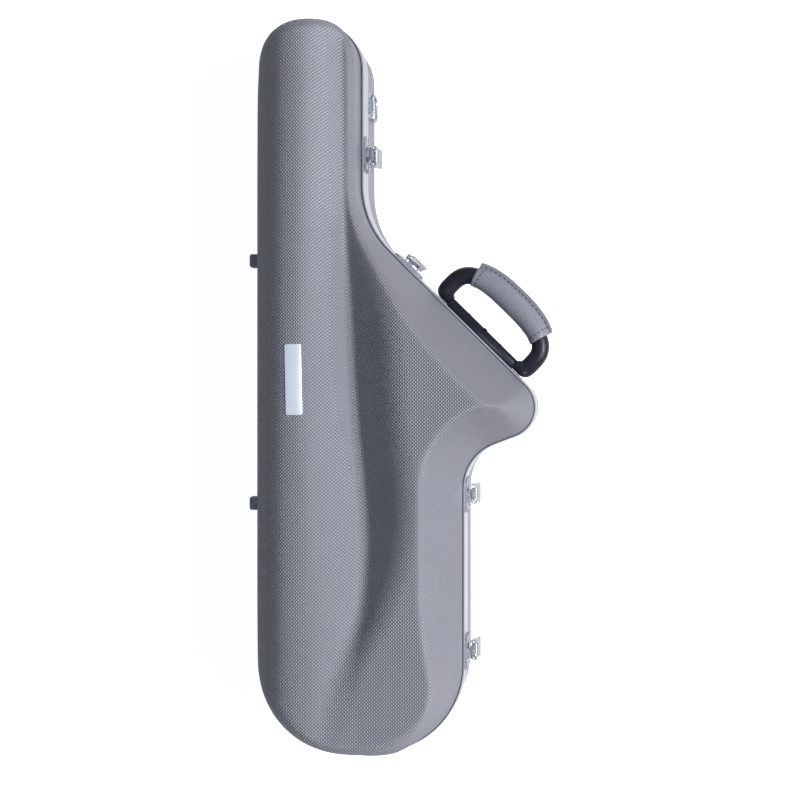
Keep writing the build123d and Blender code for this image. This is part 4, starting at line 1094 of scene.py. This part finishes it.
bow_mesh = bmesh.new()
bmesh.ops.create_circle(bow_mesh, segments=ROUND_STEPS, radius=1)
first_ring = list(bow_mesh.edges)
stations = []
for k in range(BOW_STATIONS + 1):
    distance = bow_reach * (2 * k / BOW_STATIONS - 1)
    high = BOW_HIGH - (BOW_HIGH - FOOT_HIGH) * np.exp((abs(distance) - bow_reach) / FOOT_FADE)
    stations.append(bow_place(distance) @ Matrix.Diagonal((BOW_WIDE, high, 1, 1)))
last_ring = sweep_ring(bow_mesh, first_ring, stations)
for ring in (first_ring, last_ring):
    bmesh.ops.contextual_create(bow_mesh, geom=ring)
for side in (-1, 1):
    foot = add_cylinder(bow_mesh, side * FOOT_INNER, side * FOOT_MIDDLE, FOOT_RADIUS)
    slope = [v for v in foot if abs(v.co.x) < FOOT_INNER + TOUCH and v.co.y > PIVOT_OUT]
    about_pin = Matrix.Translation((0, -PIVOT_OUT, 0))
    bmesh.ops.scale(bow_mesh, vec=(1, FOOT_SLOPE, 1), space=about_pin, verts=slope)
    add_ball(bow_mesh, (side * FOOT_MIDDLE, PIVOT_OUT, 0), (FOOT_DOME, FOOT_RADIUS, FOOT_RADIUS))
bmesh.ops.recalc_face_normals(bow_mesh, faces=bow_mesh.faces)
bow = finish_piece(bow_mesh, "bow", black_plastic, handle_frame)
bow.data.set_sharp_from_angle(angle=BOW_SHARP)
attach(bow, "handle")
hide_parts("handle_bow")
print("bow faces", len(bow.data.polygons))

# %% [markdown]
# ## The leather grip
# The grip is a strip of leather folded round the bow and sewn along its outer edge, where its two
# halves lie flat on each other and make a thin flange. A section of the fold is swept along the
# bow in the same way. The roll and the flange are a little wider in the middle, the ends are cut
# squarer than the bow runs, and each end is drawn in over the bow.

# %% Grip section
GRIP_REACH = 51.0
GRIP_RADIUS = 11.7
GRIP_PLUMP, GRIP_SHIFT, GRIP_SQUARE = 0.1, 1.2, radians(9)
SEAM_LIP = [(16.9, 0.0), (17.5, 0.3), (17.6, 1.0), (17.3, 1.6), (16.4, 1.9), (14.2, 1.9)]
SEAM_FOOT = [(13.4, 1.4), (12.7, 1.8), (12.0, 2.5), (11.5, 3.6)]
ROLL_START = radians(24)
ROLL_STEPS = 18
GRIP_STATIONS = 60


def grip_place(share):
    """The frame of the grip's section at a share of its reach, from -1 to 1."""
    middle = 1 - share**2
    square = Matrix.Rotation(GRIP_SQUARE * share**3, 4, "Y")
    shift = Matrix.Translation((GRIP_SHIFT * middle, 0, 0))
    plump = Matrix.Diagonal((1 + GRIP_PLUMP * middle, 1, 1, 1))
    return handle_frame @ bow_place(share * GRIP_REACH) @ square @ shift @ plump


def grip_section():
    """The outline of the folded leather: a round roll with a flat sewn lip."""
    roll = []
    for step in range(ROLL_STEPS + 1):
        angle = ROLL_START + (pi - ROLL_START) * step / ROLL_STEPS
        roll.append((GRIP_RADIUS * cos(angle), GRIP_RADIUS * sin(angle)))
    upper = SEAM_LIP + SEAM_FOOT + roll
    return upper + [(out, -up) for out, up in reversed(upper[1:-1])]


print("points of the fold", len(grip_section()))

# %% Leather grip
END_CREEP, END_DRAWS = 0.9, (0.93, 0.8)

grip_mesh = bmesh.new()
points = [grip_mesh.verts.new((out, up, 0)) for out, up in grip_section()]
first_ring = [grip_mesh.edges.new(pair) for pair in zip(points, points[1:] + points[:1])]
grip_places = [grip_place(2 * k / GRIP_STATIONS - 1) for k in range(GRIP_STATIONS + 1)]
drawn = [
    [
        grip_places[end]
        @ Matrix.Translation((0, 0, side * END_CREEP))
        @ Matrix.Diagonal((draw, draw, 1, 1))
        for draw in END_DRAWS
    ]
    for end, side in ((0, -1), (-1, 1))
]
last_ring = sweep_ring(grip_mesh, first_ring, drawn[0][::-1] + grip_places + drawn[1])
for ring in (first_ring, last_ring):
    bmesh.ops.contextual_create(grip_mesh, geom=ring)
bmesh.ops.recalc_face_normals(grip_mesh, faces=grip_mesh.faces)
grip = finish_piece(grip_mesh, "leather_grip", leather)
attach(grip, "handle")
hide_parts("handle_grip")
print("grip faces", len(grip.data.polygons))

# %% [markdown]
# ## Stitches
# One row of thread holds the two halves of the grip together, and a ring of stitches closes each
# end. Each stitch is a short rounded bar, pressed a little into the leather. They are all one
# piece, because they are too many for objects of their own.

# %% Stitches
SEAM_LINE = 13.4
SEAM_LEVEL = 1.6
STITCH_PITCH = 5.4
STITCH_SIZE = (0.6, 0.5, 1.7)
STITCH_SIDES, STITCH_RINGS, STITCH_RISE = 8, 6, 0.05
END_RING_SHARE, END_RING_START, END_STITCHES = 0.89, 0.42, 13


def add_stitch(mesh, place):
    """A rounded bar along the local z axis."""
    shape = place @ Matrix.Diagonal((*STITCH_SIZE, 1))
    bmesh.ops.create_uvsphere(
        mesh, u_segments=STITCH_SIDES, v_segments=STITCH_RINGS, radius=1, matrix=shape
    )


stitch_mesh = bmesh.new()
seam_count = round(2 * GRIP_REACH / STITCH_PITCH)
for side in (-1, 1):
    for k in range(1, seam_count):
        spot = Matrix.Translation((SEAM_LINE, side * SEAM_LEVEL, 0))
        add_stitch(stitch_mesh, grip_place(-1 + 2 * k / seam_count) @ spot)
for share in (-END_RING_SHARE, END_RING_SHARE):
    for k in range(END_STITCHES):
        angle = END_RING_START + 2 * (pi - END_RING_START) * k / (END_STITCHES - 1)
        rise = Matrix.Translation((GRIP_RADIUS + STITCH_RISE, 0, 0))
        turn = Matrix.Rotation(angle, 4, "Z") @ rise
        add_stitch(stitch_mesh, grip_place(share) @ turn @ Matrix.Rotation(pi / 2, 4, "X"))
stitches = finish_piece(stitch_mesh, "grip_stitches", thread)
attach(stitches, "handle")
print("stitch faces", len(stitches.data.polygons))

# %% [markdown]
# ## The lining
# Inside, blocks of foam hold the instrument, and plush is glued over them. Plush never follows a
# sharp corner: it rounds over it. Each foam block is copied, remeshed into small even cells and
# smoothed, which melts its corners. The three cushions get finer cells, so that they keep more of
# their shape. Where the lining could come through the lid, it is held below the shell.

# %% Lining
LID_CLEARANCE = 1.2
FOAM_CELL, FOAM_ROUNDS, FOAM_FILL = 3.0, 4, 0.8
CUSHION_CELL, CUSHION_ROUNDS, CUSHION_FILL = 1.8, 6, 0.9
SOFTENING = {"factor": 0.5, "use_axis_x": True, "use_axis_y": True, "use_axis_z": True}


def plush_block(node, name, cell, rounds):
    """A copy of a foam block with its corners melted; the lid's is held below the shell."""
    copy = bmesh.new()
    copy.from_mesh(nodes[node].data)
    bmesh.ops.remove_doubles(copy, verts=copy.verts, dist=MERGE)
    piece = finish_mesh(copy, name, plush)
    melt = piece.modifiers.new("even cells", "REMESH")
    melt.mode = "VOXEL"
    melt.voxel_size = cell * MM
    cells = bmesh.new()
    cells.from_object(piece, bpy.context.evaluated_depsgraph_get())
    piece.modifiers.clear()
    for _ in range(rounds):
        bmesh.ops.smooth_vert(cells, verts=cells.verts, **SOFTENING)
    if node == "lid_foam":
        x = np.array([v.co.x for v in cells.verts]) / MM
        y = np.array([v.co.y for v in cells.verts]) / MM
        gap = nearest_on_outline(x, y)[0]
        ceiling = PARTING + lid_relief(x, y, np.maximum(gap, 0))[0] - WALL - LID_CLEARANCE
        for v, top in zip(cells.verts, ceiling):
            v.co.z = min(v.co.z, top * MM)
    cells.to_mesh(piece.data)
    cells.free()
    piece.data.shade_smooth()
    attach(piece, body_of[node])
    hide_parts(node)
    return piece


linings = [
    plush_block("base_foam", "base_lining", FOAM_CELL, FOAM_ROUNDS),
    plush_block("lid_foam", "lid_lining", FOAM_CELL, FOAM_ROUNDS),
    plush_block("neck_cradle", "neck_cushion", CUSHION_CELL, CUSHION_ROUNDS),
    plush_block("bow_cradle", "bow_cushion", CUSHION_CELL, CUSHION_ROUNDS),
    plush_block("bell_divider", "bell_cushion", CUSHION_CELL, CUSHION_ROUNDS),
]
print("lining faces", [len(piece.data.polygons) for piece in linings])
